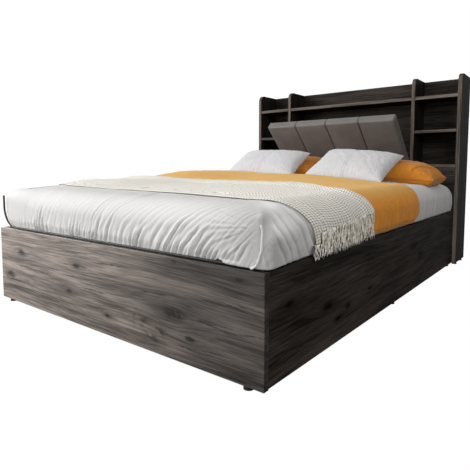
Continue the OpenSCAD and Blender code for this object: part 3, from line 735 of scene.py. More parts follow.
# at the right foot corner the sheet hangs over the bar's end: at each height its outline is drawn tight round the bar
RIDGE, RIDGE_Z = 70.0, 393.0
nat = np.stack([X, Y], -1)
here = (ring[:, 0] > 530) & (ring[:, 1] < 215)
idx = np.flatnonzero(here)
for k in range(NS):
    z = 0.5 * (HEM + min(S[k], H0) + RS * math.sin(min(max((S[k] - H0) / RS, 0), math.pi / 2))) * 2
    if z > 498:
        break
    if z < RIDGE_Z:
        bx = BAR_X - RIDGE + math.sqrt(max(RIDGE ** 2 - (RIDGE_Z - z) ** 2, 0))
    else:
        bx = BAR_X
    pull = max(z - 483, 0) * 1.2
    c = np.array([bx - pull * 0.75, BAR_Y + pull])
    r = 8.4
    a = np.radians(np.arange(-170, 80, 10))
    run = BAR_X - BAR_R + math.sqrt(max(BAR_R ** 2 - (BAR_Z + BAR_R - min(z, BAR_Z + BAR_R)) ** 2, 0))
    run = np.array([run if z > 346 else 606.0, BAR_Y]) + 8.0 * np.stack([np.cos(a), np.sin(a)], -1)
    disk = c + r * np.stack([np.cos(a), np.sin(a)], -1)
    pts = np.stack([X[idx, k], Y[idx, k]], -1)
    core = np.array([560.0, 170.0])
    low = smooth(470, 400, z)
    turn = np.array([704 - 20 * (1 - low), 31 + 15 * (1 - low)]) + 26.0 * np.stack([np.cos(a), np.sin(a)], -1)
    poly = hull2(np.concatenate([pts, disk, turn, [[530, 215]]] + ([run] if z < 440 else [])))
    d = pts - core
    dist = np.linalg.norm(d, axis=1)
    d = d / dist[:, None]
    far = np.maximum(cast(core, d, poly), dist)
    edge = smooth(530, 575, ring[idx, 0]) * smooth(215, 170, ring[idx, 1])
    new = core + d * (dist + (far - dist) * edge)[:, None]
    X[idx, k], Y[idx, k] = new[:, 0], new[:, 1]
P = np.stack([X, Y, Z], -1)
# the cloth draws smooth over the bar's tip, and rests on it
soften = (smooth(425, 452, Z) * smooth(530, 575, X) * smooth(235, 180, Y))[..., None]
for _ in range(90):
    e = np.pad(P, ((1, 1), (0, 0), (0, 0)), mode="wrap")
    e = np.concatenate([e[:, :1], e, e[:, -1:]], axis=1)
    P = P + 0.5 * soften * ((e[:-2, 1:-1] + e[2:, 1:-1] + e[1:-1, :-2] + e[1:-1, 2:]) / 4 - P)
    hub = np.stack([np.full(X.shape, BAR_X), np.full(X.shape, BAR_Y), np.clip(P[..., 2], 430, 470)], -1)
    d = P - hub
    dist = np.linalg.norm(d, axis=-1, keepdims=True)
    P = np.where((dist < 9.0) & (soften > 0), hub + d * (9.0 / np.maximum(dist, 1e-6)), P)
    # never inside the slab under it
    core = np.array([560.0, 170.0])
    a, b = P[..., :2] - core, nat - core
    ra, rb = np.linalg.norm(a, axis=-1, keepdims=True), np.linalg.norm(b, axis=-1, keepdims=True)
    low_ = (soften[..., 0] > 0) & (P[..., 2] < 494) & (ra < rb)[..., 0]
    P[..., :2] = np.where(low_[..., None], core + a * (rb / np.maximum(ra, 1e-6)), P[..., :2])
X, Y, Z = P[..., 0].copy(), P[..., 1].copy(), P[..., 2].copy()
X0, Y0, Z0 = X.copy(), Y.copy(), Z.copy()

# folds, as a height along the surface's own normal
hgt = SS
lean = 0.40 + 0.82 * smooth(-300, 560, X)
on_top = np.maximum(SS - (H0 + ARC * 0.72), 0)
up = np.clip(hgt / 190.0, 0, 1)
q = X - lean * 175 * (0.50 * up + 0.42 * up ** 2) + 0.06 * on_top + 8 * fbm(X / 60, hgt / 50, 5)
span = (0.25 + 0.75 * smooth(-620, -380, X)) * (0.55 + 0.45 * smooth(-250, 250, X)) * smooth(700, 640, X)
reach = smooth(0, 12, hgt)
# each fold has its own strength and reach
own = lambda n, sd: 0.34 + 0.66 * smooth(-0.45, 0.35, vnoise(q / n, hgt * 0.0, sd))
top1 = 44 + 46 * (0.5 + 0.5 * vnoise(q / 26, q * 0.0, 12))
top2 = 84 + 66 * (0.5 + 0.5 * vnoise(q / 60, q * 0.0, 13))
f1 = crease(q / 22, 11, 0.23, 0.40) * 6.0 * smooth(top1, top1 * 0.3, hgt) * own(44, 14) * (0.22 + 0.78 * smooth(-660, -460, X))
f2 = crease(q / 47, 23, 0.15, 0.42) * 7.2 * smooth(top2, top2 * 0.3, hgt) * own(95, 15) * span * (0.55 + 0.45 * smooth(8, 40, hgt))
f3 = crease(q / 78 + 0.4, 37, 0.055, 0.44) * 3.2 * smooth(40, 110, hgt) * (1 - smooth(180, 460, hgt)) * own(150, 16) * span
f4 = crease((q + 21) / 31, 51, 0.16, 0.44) * 1.8 * smooth(26, 80, hgt) * (1 - smooth(130, 330, hgt)) * own(70, 17) * smooth(-690, -250, X)
fold_foot = (f1 + f2 + f3 + f4) * foot
# the pull from the bar's end: creases fan out from it
rad = np.hypot((X - 700) * 0.9, hgt - 112)
ang = np.arctan2(hgt - 112, -(X - 700))
fan = crease(ang * 4.8 + 0.35, 61, 0.13, 0.3) * 2.9 * smooth(10, 45, rad) * (1 - smooth(80, 220, rad)) * foot * smooth(0.9, -0.3, ang)
# right side: creases rise towards the foot corner
qr = Y + 0.75 * hgt + 8 * fbm(Y / 50, hgt / 40, 8)
fr = crease(qr / 46, 71, 0.19, 0.38) * 10.0 * smooth(70, 130, qr) * smooth(30, 75, Y) * (1 - smooth(105, 190, hgt)) * (1 - smooth(240, 400, Y)) * side_r
fr += crease(qr / 23, 77, 0.22, 0.35) * 2.8 * smooth(90, 140, qr) * (1 - smooth(24, 70, hgt)) * (1 - smooth(360, 480, Y)) * side_r
fr += crease((Y - 0.3 * hgt) / 95, 79, 0.16, 0.4) * 2.0 * smooth(1200, 1300, Y) * (1 - smooth(60, 170, hgt)) * side_r
fr += crease((Y + 0.25 * hgt) / 42, 83, 0.2, 0.4) * 2.2 * (1 - smooth(20, 90, hgt)) * np.maximum(side_l, 0.8 * head)
# broad unevenness and slack creases on the top
soft = 2.2 * fbm(X / 210, Y / 210, 91) * smooth(60, 200, hgt) + 0.8 * fbm(X / 55, Y / 60, 95)
slack = crease((0.75 * X + 0.66 * Y) / 150 + 0.5 * fbm(X / 160, Y / 160, 97), 99, 0.10, 0.4) * 1.8 * smooth(H0 + ARC, H0 + ARC + 90, SS) * smooth(1250, 1400, Y)
bar_at = np.where(Z0 < BAR_Z + BAR_R, BAR_X - BAR_R + np.sqrt(np.clip(BAR_R ** 2 - (BAR_Z + BAR_R - Z0) ** 2, 0, None)), BAR_X)
tight = 1 - 0.92 * np.exp(-((X0 - bar_at - 1) / 20) ** 2) * smooth(500, 470, Z0) * smooth(60, 45, Y0)
disp = ((fold_foot + fan) * tight + (fr + soft) * np.minimum(tight, 1) + slack) * (0.35 + 0.65 * reach)

ext = np.concatenate([P[-2:], P, P[:2]])          # closed ring, for the normals
nrm = grid_normals(ext)[2:-2]
if ((P - np.array([0.0, 1000.0, 300.0])) * nrm).sum() < 0:
    nrm = -nrm
P = P + nrm * disp[..., None]
P[..., 2] = np.maximum(P[..., 2], HEM - 2.5)
# behind the bar's run, and in front of its end
on_front = (foot > 0.5) & (X0 < BAR_X - BAR_R - 55)
P[..., 1] = np.where(on_front & (P[..., 2] < 346), np.maximum(P[..., 1], 15.2), P[..., 1])
# over the bar from behind it to the front of its bend
over = smooth(530, 552, X0) * (1 - smooth(566, 590, X0)) * (foot > 0.5)
P[..., 2] = np.maximum(P[..., 2], HEM - 2.5 + 9.5 * over)
P[..., 1] = np.maximum(P[..., 1], 1.0)
# inside the bar's left riser
bend = np.where(P[..., 2] < BAR_Z + BAR_R, BAR_X - BAR_R + np.sqrt(np.clip(BAR_R ** 2 - (BAR_Z + BAR_R - P[..., 2]) ** 2, 0, None)), BAR_X) - 8.0
P[..., 0] = np.where((P[..., 1] < 19) & (P[..., 2] < 482) & (P[..., 0] < -600), np.maximum(P[..., 0], -bend), P[..., 0])
P[..., 0] = np.clip(P[..., 0], -736 + 18.5 * smooth(1300, 1500, Y), 747 - 29.5 * smooth(1300, 1500, Y))

faces = []
i = np.arange(NR)
i2 = (i + 1) % NR
for k in range(NS - 1):
    faces.append(np.stack([i * NS + k, i2 * NS + k, i2 * NS + k + 1, i * NS + k + 1], -1))
faces = np.concatenate(faces)
sheet = mesh_object("fitted_sheet_cloth", W(P).reshape(-1, 3), faces)
# the cloth's tone, painted light and shade: painted shade deep in a fold and a painted highlight on its ridges, painted
# light on the foot face towards the window, painted shade over the top near the foot and low on the right side where
# the corner turns from the window, and a painted highlight near the right foot corner
depth = np.clip(-((fold_foot + fan) * tight + fr * np.minimum(tight, 1) + 0.6 * slack) / 6.5, -0.35, 1.0) * (0.5 + 0.5 * smooth(260, 60, SS))
upper = smooth(H0 + ARC * 0.55, H0 + ARC * 1.1, SS)
corner = np.exp(-((X - 690) ** 2 + (Y - 70) ** 2) / (2 * 95.0 ** 2)) * smooth(-40, 50, X + Y - 735) * smooth(H0 * 0.72, H0 + ARC * 0.25, SS)
lower = (1 - upper) * smooth(440, 690, X) * (0.24 * smooth(100, 30, Y) + 0.13 * smooth(30, 100, Y) * smooth(420, 130, Y))
tone = 0.97 - 0.42 * depth + 0.10 * foot * (1 - upper) * smooth(640, 300, X) - 0.16 * smooth(H0 + ARC * 0.3, H0 + ARC, SS) * smooth(1200, 700, Y) * (1 - corner) + 0.26 * corner - lower * (1 - corner)
painted_light_shade_at = sheet.data.attributes.new("tone", "FLOAT", "POINT")
painted_light_shade_at.data.foreach_set("value", tone.astype(np.float32).ravel())
wm = sheet.modifiers.new("weld", "WELD")
wm.merge_threshold = 0.0006
apply_modifiers(sheet)
thicken(sheet, 0.0014, -1.0)

# sewn seam down the right foot corner, in cloth lighter than the sheet's: a painted highlight
path = np.array([(711, 452), (712, 430), (712, 405), (709.5, 386), (706, 370), (700.5, 355), (693, 344), (681, 336)], float)
sk = np.linspace(0, 7, 40)
path = np.stack([np.interp(sk, np.arange(8), path[:, 0]), np.interp(sk, np.arange(8), path[:, 1])], -1)
cols = np.flatnonzero((ring[:, 0] > 560) & (ring[:, 1] < 150))
seam = []
for bx, z in path:
    d = np.abs(P[cols][..., 2] - z) + np.hypot(P[cols][..., 0] - bx, P[cols][..., 1] - 1.5)
    r_, c_ = np.unravel_index(np.argmin(d), d.shape)
    seam.append(P[cols[r_], c_] + nrm[cols[r_], c_] * 2.4)
seam = np.array(seam)
for _ in range(6):
    seam[1:-1] = 0.25 * seam[:-2] + 0.5 * seam[1:-1] + 0.25 * seam[2:]
v, f = tube_mesh([W(seam)], 0.0031, 8)
seam_cord = mesh_object("fitted_sheet_seam", v, f)

# the mattress under it: a rounded slab with a taped edge
def mattress_shape():
    R, x1, y0, y1, z0, z1 = 60.0, 690.0, 40.0, 2026.0, 281.0, 494.0
    n = 20
    prof = []                                     # (inset, z) from the middle of the underside to the middle of the top
    for a in np.linspace(-90, 0, 8):
        prof.append((26 - 26 * math.cos(math.radians(a)), z0 + 26 + 26 * math.sin(math.radians(a))))
    for a in np.linspace(0, 90, 12):
        prof.append((R - R * math.cos(math.radians(a)), z1 - R + R * math.sin(math.radians(a))))
    prof = [(690.0 - 12, z0), (320.0, z0), (120.0, z0)] + prof + [(120.0, z1), (320.0, z1), (690.0 - 12, z1)]
    base, out = [], []
    for (cx, cy, a0) in ((x1 - 50, y0 + 50, -90), (x1 - 50, y1 - 50, 0), (-x1 + 50, y1 - 50, 90), (-x1 + 50, y0 + 50, 180)):
        for a in np.radians(a0 + np.linspace(0, 90, 9)):
            base.append((cx + 50 * math.cos(a), cy + 50 * math.sin(a)))
            out.append((math.cos(a), math.sin(a)))
    base, out = np.array(base), np.array(out)
    # more points along the straight runs
    bb, oo = [], []
    for k in range(len(base)):
        a, b = base[k], base[(k + 1) % len(base)]
        m = max(1, int(np.linalg.norm(b - a) / 60))
        for j in range(m):
            bb.append(a + (b - a) * j / m)
            oo.append(out[k] + (out[(k + 1) % len(out)] - out[k]) * j / m)
    bb, oo = np.array(bb), np.array(oo)
    V = []
    for (ins, z) in prof:
        lx, ly0, ly1 = x1 - ins, y0 + ins, y1 - ins
        x = np.clip(bb[:, 0] - oo[:, 0] * ins, -lx, lx)
        y = np.clip(bb[:, 1] - oo[:, 1] * ins, ly0, ly1)
        V.append(np.stack([x, y, np.full(len(x), float(z))], -1))
    V = np.array(V)
    m, nn = V.shape[:2]
    faces = []
    for a in range(m - 1):
        for b in range(nn):
            b2 = (b + 1) % nn
            faces.append((a * nn + b, a * nn + b2, (a + 1) * nn + b2, (a + 1) * nn + b))
    faces.append(tuple(reversed(range(nn))))
    faces.append(tuple((m - 1) * nn + b for b in range(nn)))
    tape = [V[6] + np.stack([oo[:, 0] * 1.5, oo[:, 1] * 1.5, np.zeros(nn)], -1)]
    return V.reshape(-1, 3), faces, tape


mv, mf, tape = mattress_shape()
mattress = mesh_object("mattress_body", W(mv), mf)
tp = np.concatenate([tape[0], tape[0][:1]])
v, f = tube_mesh([W(tp)], 0.0045, 8, caps=False)
piping = mesh_object("mattress_piping", v, f)


def ticking_mat():
    g = Mat("ticking", Roughness=0.85, Sheen_Weight=0.2, Sheen_Roughness=0.5, Specular_IOR_Level=0.2)
    x, y, z = g.split(g.coord())
    k = 2 * math.pi / 0.055
    a = g.math("SINE", g.math("MULTIPLY", g.math("ADD", x, y), k))
    b = g.math("SINE", g.math("MULTIPLY", g.math("SUBTRACT", x, y), k))
    quilt = g.math("MINIMUM", g.math("ABSOLUTE", a), g.math("ABSOLUTE", b))
    puff = g.math("POWER", quilt, 0.4)
    knit = g.noise(g.xyz(g.math("MULTIPLY", x, 900.0), g.math("MULTIPLY", y, 900.0), g.math("MULTIPLY", z, 900.0)), 1.0, 1.0, 0.5)
    c = g.mix(puff, srgb("cfccc8"), srgb("efedea"))
    return g.done(Base_Color=c, Normal=g.bump(g.math("MULTIPLY_ADD", knit, 0.06, puff), 0.5, 0.004))


M["ticking"] = ticking_mat()
mattress.data.materials.append(M["ticking"])
M["tape"] = cloth("mattress_tape", srgb("b9b6b2"), thread=0.0012)
piping.data.materials.append(M["tape"])
for o in (mattress, piping):
    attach(o, "platform")
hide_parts("mattress")

sheet_mat = cloth("sheet_cotton", srgb("dddbd9"), shade=0.93, thread=0.0009, rough=0.9, sheen=0.15, weave=0.22, slub=0.5, plane="side")
nt = sheet_mat.node_tree
shader = next(n_ for n_ in nt.nodes if n_.type == "BSDF_PRINCIPLED")
src = shader.inputs["Base Color"].links[0].from_socket
# the base colour is scaled by the tone attribute, which holds the painted light and shade
at = nt.nodes.new("ShaderNodeAttribute")
at.attribute_name = "tone"
tint = nt.nodes.new("ShaderNodeVectorMath")
tint.operation = "SCALE"
nt.links.new(src, tint.inputs[0])
nt.links.new(at.outputs["Fac"], tint.inputs["Scale"])
nt.links.new(tint.outputs[0], shader.inputs["Base Color"])
# the seam's cloth is lighter than the sheet's, a painted highlight
seam_painted_highlight_mat = cloth("sheet_seam", srgb("efedea"), shade=0.95, thread=0.0009, rough=0.9, sheen=0.15, weave=0.22, slub=0.5)
sheet.data.materials.append(sheet_mat)
seam_cord.data.materials.append(seam_painted_highlight_mat)
for o in (sheet, seam_cord):
    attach(o, "platform")
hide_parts("fitted_sheet")


# ---------------------------------------------------------------- blanket and throw
FLAT = WS - RS                                    # half width of the flat top
U1 = FLAT + ARC                                   # where the side begins, along the cloth from the bed's middle


def bed_at(u, y, off):
    """A point standing off above the made bed, u millimetres across it along the cloth, and the direction it stands off in."""
    u, y, off = np.broadcast_arrays(np.asarray(u, float), np.asarray(y, float), np.asarray(off, float))
    sgn, a = np.sign(u), np.abs(u)
    t = np.clip((a - FLAT) / RS, 0, math.pi / 2)
    x = np.minimum(a, FLAT) + RS * np.sin(t)
    down = np.maximum(a - U1, 0)
    z = 500 - RS + RS * np.cos(t) - down
    z = z + crown(sgn * x, y) * np.cos(t)
    hs = np.clip(z - HEM, 0, None)
    x = x + 3.0 * np.sin(np.clip(hs / (H0 + 30), 0, 1) * math.pi) * np.sin(t)
    x = x + belly(y, sgn > 0) * belly_at(z, np.sin(t))
    n = np.stack([sgn * np.sin(t), np.zeros_like(t), np.cos(t)], -1)
    p = np.stack([sgn * x, y, z], -1)
    return p + n * off[..., None], n


def interp(x, pts):
    xs, ys = zip(*pts)
    return np.interp(x, xs, ys)


def smooth_row(v, k=6):
    v = np.asarray(v, float)
    for _ in range(k):
        e = np.concatenate([v[:1], v, v[-1:]])
        v = 0.25 * e[:-2] + 0.5 * e[1:-1] + 0.25 * e[2:]
    return v


# ---- orange blanket: folded in two, laid across, both ends tucked beside the mattress
zs_at = lambda u: 500 - RS + RS * np.cos(np.clip((np.abs(u) - FLAT) / RS, 0, math.pi / 2)) - np.maximum(np.abs(u) - U1, 0)
u_end = U1 + (500 - RS - (HEM + 2))
bu = np.unique(np.concatenate([np.linspace(-u_end, -FLAT + 20, 60), np.linspace(-FLAT + 20, FLAT - 20, 120), np.linspace(FLAT - 20, u_end, 84)]))
NBU = len(bu)
head_y = np.where(bu > 0,
                  interp(bu, [(0, 1296), (420, 1302), (560, 1322), (640, 1338), (680, 1322), (712, 1308), (745, 1306), (775, 1301), (800, 1284), (820, 1258), (u_end, 1238)]),
                  interp(-bu, [(0, 1296), (560, 1300), (700, 1290), (u_end, 1272)]))
head_y = smooth_row(head_y, 5) + 3.0 * fbm(bu / 70, bu * 0, 7)
front_y = 622 - 70 * smooth(-120, -400, bu) + 5 * fbm(bu / 120, bu * 0 + 3, 9)
q_in = np.linspace(0, 1, 14)
arc_f = np.linspace(0, 1, 9)[1:-1]
body = np.linspace(0, 1, 150)
arc_h = np.linspace(0, 1, 9)[1:-1]
rows = []
for j in range(NBU):
    u, ya, yb = bu[j], front_y[j], head_y[j]
    prof = []                                     # (y, part: 0 under .. 1 over)
    for t in q_in[::-1][:-1]:
        prof.append((ya + 14 + (yb - 20 - ya) * t, 0.0))
    for t in arc_f:                               # the fold
        prof.append((ya + 14 - 14 * math.sin(math.pi * t), 0.5 - 0.5 * math.cos(math.pi * t)))
    for t in body:
        prof.append((ya + 14 + (yb - ya - 30) * t, 1.0))
    for t in arc_h:                               # the head edge rolls under
        prof.append((yb - 16 + 16 * math.sin(math.pi / 2 * t), 1.0 - 0.9 * (1 - math.cos(math.pi / 2 * t))))
    prof.append((yb - 2, 0.06))
    prof.append((yb - 12, 0.03))
    rows.append(prof)
rows = np.array(rows)
by, bpart = rows[..., 0], rows[..., 1]
BU = bu[:, None] * np.ones_like(by)
bx_plan = np.sign(BU) * (np.minimum(np.abs(BU), FLAT) + RS * np.sin(np.clip((np.abs(BU) - FLAT) / RS, 0, math.pi / 2)))
thick_o = duvet_t(bx_plan, by)
side_w = smooth(FLAT + 10, U1 + 30, np.abs(BU))
thick_o = thick_o * (1 - side_w) + 9.0 * side_w
hem_pinch = 1 - 0.65 * smooth(u_end - 26, u_end, np.abs(BU))
# soft unevenness, shallow creases across and gathers at the hems
topw = bpart ** 2
wr = 2.6 * fbm(BU / 190, by / 150, 201) + 1.0 * fbm(BU / 60, by / 55, 203)
wr += crease((BU * 0.35 + by * 0.93) / 120 + 0.6 * fbm(BU / 200, by / 170, 205), 207, 0.11, 0.4) * 1.7 * smooth(300, 700, by)
wr += crease((by + 0.35 * (np.abs(BU) - U1)) / 64, 209, 0.16, 0.4) * 3.0 * smooth(U1 - 30, U1 + 70, np.abs(BU))
wr += crease((by - 0.2 * np.abs(BU)) / 27, 211, 0.2, 0.4) * 1.8 * smooth(u_end - 55, u_end - 5, np.abs(BU))
off_b = 1.8 + (thick_o * hem_pinch) * bpart + wr * topw * hem_pinch
BP, BN = bed_at(BU, by, off_b)
hemwave = (4.5 * fbm(by / 55, BU * 0, 213) + 3.0) * smooth(u_end - 40, u_end, np.abs(BU))
BP[..., 2] += np.maximum(hemwave, 0)
BP[..., 0] = np.clip(BP[..., 0], -748, 748)
blanket = grid_object("orange_blanket_folded", W(BP), flip=True)
thicken(blanket, 0.0026, -1.0)


def orange_mat(name, base, deep):
    g = Mat(name, Roughness=0.78, Sheen_Weight=0.22, Sheen_Roughness=0.4, Specular_IOR_Level=0.12)
    g.b.inputs["Sheen Tint"].default_value = (1.0, 0.92, 0.62, 1.0)
    p = g.coord()
    x, y, z = g.split(p)
    k = 2 * math.pi / 0.0016
    long = g.math("ADD", y, z)
    tw = g.math("SINE", g.math("MULTIPLY", g.math("ADD", g.math("ADD", x, long), g.math("MULTIPLY", z, 0.3)), k))
    s1 = g.noise(g.xyz(g.math("MULTIPLY", x, 14.0), g.math("MULTIPLY", long, 520.0), 0.0), 1.0, 3.0, 0.55)
    s2 = g.noise(g.xyz(g.math("MULTIPLY", x, 520.0), g.math("MULTIPLY", long, 14.0), 3.0), 1.0, 3.0, 0.55)
    sl = g.math("MULTIPLY", g.math("ADD", s1, s2), 0.5)
    soft = g.noise(p, 5.0, 4.0, 0.6)
    nx, ny, nz = g.split(g.coord("Normal"))
    # painted sheen: faces turned upwards take paler colours
    painted_sheen_up = g.range(nz, 0.35, 0.98)
    hi = g.mix(painted_sheen_up, base, srgb("e4ae58"))
    lo = g.mix(painted_sheen_up, deep, srgb("d69d45"))
    c = g.mix(g.range(sl, 0.33, 0.66), lo, hi)
    c = g.mix(g.math("MULTIPLY", g.range(soft, 0.35, 0.7), 0.4), c, lo)
    h = g.math("MULTIPLY_ADD", tw, 0.25, g.math("MULTIPLY", sl, 1.2))
    return g.done(Base_Color=c, Normal=g.bump(h, 0.3, 0.0005))


M["orange"] = orange_mat("orange_cotton", srgb("f09c36"), srgb("dd8a26"))
blanket.data.materials.append(M["orange"])
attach(blanket, "platform")
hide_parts("orange_blanket")

# ---- knitted throw: folded lengthwise, laid across over the blanket, fringed at both ends
hem_u = {1: lambda y: 766.5 - (y - 280) * (23.5 / 344), -1: lambda y: 812 - (y - 300) * 0.03}
front_pts = [(-900, 300), (-780, 290), (-700, 270), (-600, 216), (-429, 158), (-351, 152), (-228, 165), (-98, 182), (14, 184), (316, 160), (480, 136), (560, 132), (620, 146), (665, 172), (705, 205), (745, 240), (790, 262), (900, 292)]
back_pts = [(-900, 760), (-700, 750), (-560, 700), (-470, 640), (-395, 618), (-245, 645), (-161, 704), (-46, 756), (120, 760), (268, 762), (360, 764), (450, 745), (540, 700), (620, 652), (680, 646), (715, 662), (750, 684), (790, 708), (900, 745)]
nu = 330
ut = np.linspace(-1, 1, nu)
uu0 = ut * 812.0
fy = smooth_row(interp(uu0, front_pts), 8)
byk = smooth_row(interp(uu0, back_pts), 8)
LIP = 40.0                                        # the under layer shows this far in front of the upper one
vb = np.linspace(0, 1, 60)
prof_v = []
for t in np.linspace(0, 1, 16):                   # lip of the under layer, finely
    prof_v.append(("lip", t))
for t in np.linspace(0, 1, 22)[1:]:
    prof_v.append(("under", t))
for t in np.linspace(0, 1, 9)[1:-1]:
    prof_v.append(("fold", t))
for t in np.linspace(0, 1, 120):
    prof_v.append(("over", t))
prof_v.append(("edge", 0.5))
prof_v.append(("edge", 1.0))
nv = len(prof_v)
TY, TL = np.zeros((nu, nv)), np.zeros((nu, nv))
for k, (kind, t) in enumerate(prof_v):
    lip_end = fy + LIP
    if kind == "lip":
        TY[:, k], TL[:, k] = fy + LIP * t, 0.12 * smooth(0, 0.15, t)
    elif kind == "under":
        TY[:, k], TL[:, k] = lip_end + (byk - 9 - lip_end) * t, 0.0
    elif kind == "fold":
        TY[:, k], TL[:, k] = byk - 9 + 9 * math.sin(math.pi * t), 0.5 - 0.5 * math.cos(math.pi * t)
    elif kind == "over":
        TY[:, k], TL[:, k] = byk - 9 + (lip_end + 6 - byk + 9) * t, 1.0
    else:
        TY[:, k], TL[:, k] = lip_end + 6 - 3.0 * t, 1.0 - 0.45 * t
kinds = np.array([0.0 if k_ in ("lip", "under", "fold") else 1.0 for k_, _t in prof_v])[None, :]
low_hem = hem_u[1](TY) + (801 - hem_u[1](np.full_like(TY, 280.0))) * (1 - smooth(280, 430, TY))
hemlen = np.where(uu0[:, None] > 0, low_hem * (1 - kinds) + hem_u[1](TY) * kinds, hem_u[-1](TY))
TU = ut[:, None] * hemlen
tx_plan = np.sign(TU) * (np.minimum(np.abs(TU), FLAT) + RS * np.sin(np.clip((np.abs(TU) - FLAT) / RS, 0, math.pi / 2)))
step_y = 622 - 70 * smooth(-120, -400, TU)
over_bl = smooth(step_y - 26, step_y + 18, TY)                    # steps up onto the blanket
ground = 2.4 + over_bl * (duvet_t(tx_plan, TY) + 1.5)
ground = ground + 6.0 * smooth(-40, -380, tx_plan) * smooth(200, 330, TY)
sidew = smooth(FLAT + 20, U1 + 20, np.abs(TU))
ground = ground * (1 - sidew) + sidew * np.maximum(9.0, 9.0 + over_bl * 6.0)
lay = TL * (5.2 + 1.6 * fbm(TU / 90, TY / 60, 301))
und = 1.6 * fbm(TU / 150, TY / 120, 303) + 1.0 * fbm(TU / 48, TY / 44, 305)
und += crease((TY - (fy[:, None] + LIP)) / 110 + 0.25, 307, 0.12, 0.3) * 3.2 * smooth(520, 760, TU)
und += 3.0 * np.sin((TY + 0.25 * np.abs(TU)) / 34.0) * smooth(U1 - 10, 815, np.abs(TU)) * TL
TP, TN = bed_at(TU, TY, ground + lay + und * (0.35 + 0.65 * TL))
TP[..., 0] = np.clip(TP[..., 0], -760, 760)
run = np.concatenate([np.zeros((nu, 1)), np.cumsum(np.linalg.norm(np.diff(TP, axis=1), axis=-1), axis=1)], axis=1)
run_u = np.concatenate([np.zeros((1, nv)), np.cumsum(np.linalg.norm(np.diff(TP, axis=0), axis=-1), axis=0)], axis=0)
UV = np.stack([run_u / 1000.0, run / 1000.0], -1)
throw = grid_object("knit_throw_cloth", W(TP), uv=UV, flip=True)
thicken(throw, 0.0032, -1.0)


def throw_mat():
    """Cream wool in a small check with brown lines, from the cloth's own measure."""
    g = Mat("cream_knit", Roughness=0.95, Sheen_Weight=0.3, Sheen_Roughness=0.6, Specular_IOR_Level=0.15)
    uv = g.coord("UV")
    wob = g.noise(uv, 60.0, 2.0, 0.5, color=True)
    p = g.vmath("MULTIPLY_ADD", wob, (0.0010, 0.0010, 0.0), uv)
    x, y, _ = g.split(p)
    cu = g.math("ABSOLUTE", g.math("COSINE", g.math("MULTIPLY", x, math.pi / 0.0094)))
    cv = g.math("ABSOLUTE", g.math("COSINE", g.math("MULTIPLY", y, math.pi / 0.0172)))
    square = g.math("MULTIPLY", g.range(cu, 0.12, 0.38), g.range(cv, 0.10, 0.32))
    lines = g.math("MAXIMUM", cu, cv)
    fibre = g.noise(p, 1400.0, 3.0, 0.6)
    patch = g.noise(uv, 14.0, 3.0, 0.5)
    rib = g.math("ABSOLUTE", g.math("SINE", g.math("MULTIPLY", g.math("ADD", x, y), math.pi / 0.0023)))
    gap = g.mix(g.range(lines, 0.35, 0.98), srgb("4a3f34"), srgb("a89b86"))
    c = g.mix(square, gap, srgb("fdfaf0"))
    c = g.mix(g.math("MULTIPLY", fibre, 0.12), c, srgb("d9d0bf"))
    c = g.mix(g.math("MULTIPLY", g.range(patch, 0.4, 0.75), 0.10), c, srgb("cfc6b4"))
    h = g.math("ADD", g.math("MULTIPLY", square, 1.0), g.math("ADD", g.math("MULTIPLY", rib, 0.25), g.math("MULTIPLY", fibre, 0.3)))
    return g.done(Base_Color=c, Normal=g.bump(h, 0.7, 0.0016))


def yarn_mat(name="cream_yarn", lo="ccc2b0", hi="fdfaf0"):
    g = Mat(name, Roughness=0.95, Sheen_Weight=0.3, Sheen_Roughness=0.6, Specular_IOR_Level=0.15)
    p = g.coord()
    a = g.noise(p, 800.0, 2.0, 0.6)
    b = g.noise(p, 120.0, 3.0, 0.6)
    c = g.mix(g.range(b, 0.38, 0.62), srgb(lo), srgb(hi))
    return g.done(Base_Color=c, Normal=g.bump(a, 0.5, 0.0006))


M["throw"] = throw_mat()
M["yarn"] = yarn_mat()
# dark brown yarn for the innermost strands: painted shade standing for the shadow between the fringe's strands
M["yarn_dark"] = yarn_mat("brown_yarn_painted_shade", "3f352b", "7d705d")
throw.data.materials.append(M["throw"])

rng = np.random.default_rng(41)
strands = {"dark": [], "light": []}
for sgn in (1, -1):
    ya_, yb_ = (244.0, 704.0) if sgn > 0 else (300.0, 745.0)
    # the innermost layer, 0, takes the dark yarn as painted shade behind the outer strands
    for layer, step in ((0, 4.4), (1, 8.6), (2, 9.4)):
        ys = np.arange(ya_, yb_, step) + layer * 2.1
        for y0 in ys:
            y0 = y0 + rng.normal(0, 1.1)
            uh = hem_u[sgn](y0)
            if sgn > 0 and y0 < 284:
                uh = 801.0
            start, _n = bed_at(sgn * (uh - 3), y0, 13.0 + 2.6 * layer + 1.5 * math.sin(y0 / 34.0))
            foot_z = 325 + (y0 - 254) * 0.03 if sgn > 0 else start[2] - 56
            length = (start[2] - foot_z) * (0.93 + 0.13 * rng.random()) - (5.0 if layer == 0 else 0.0)
            n = 9
            t = np.linspace(0, 1, n)
            amp = 2.6 + 2.4 * rng.random()
            ph = rng.random(3) * 6.28
            yy = y0 + amp * np.sin(t * 9 + ph[0]) * t + rng.normal(0, 3.6) * t
            xx = start[0] + sgn * (1.6 * np.sin(t * 9 + ph[1]) + 1.4 * t)
            zz = start[2] - length * t + 1.0 * np.sin(t * 13 + ph[2])
            xx = sgn * np.clip(np.abs(xx), 700, 762)
            xx = np.where(zz < 334, sgn * np.maximum(np.abs(xx), 721.5), xx)
            strands["light" if layer else "dark"].append(W(np.stack([xx, yy, zz], -1)))
rad_t = np.array([1.7, 1.65, 1.6, 1.55, 1.5, 1.5, 1.5, 1.4, 0.8]) / 1000
vd, fd = tube_mesh(strands["dark"], rad_t, 5)
vl, fl = tube_mesh(strands["light"], rad_t, 5)
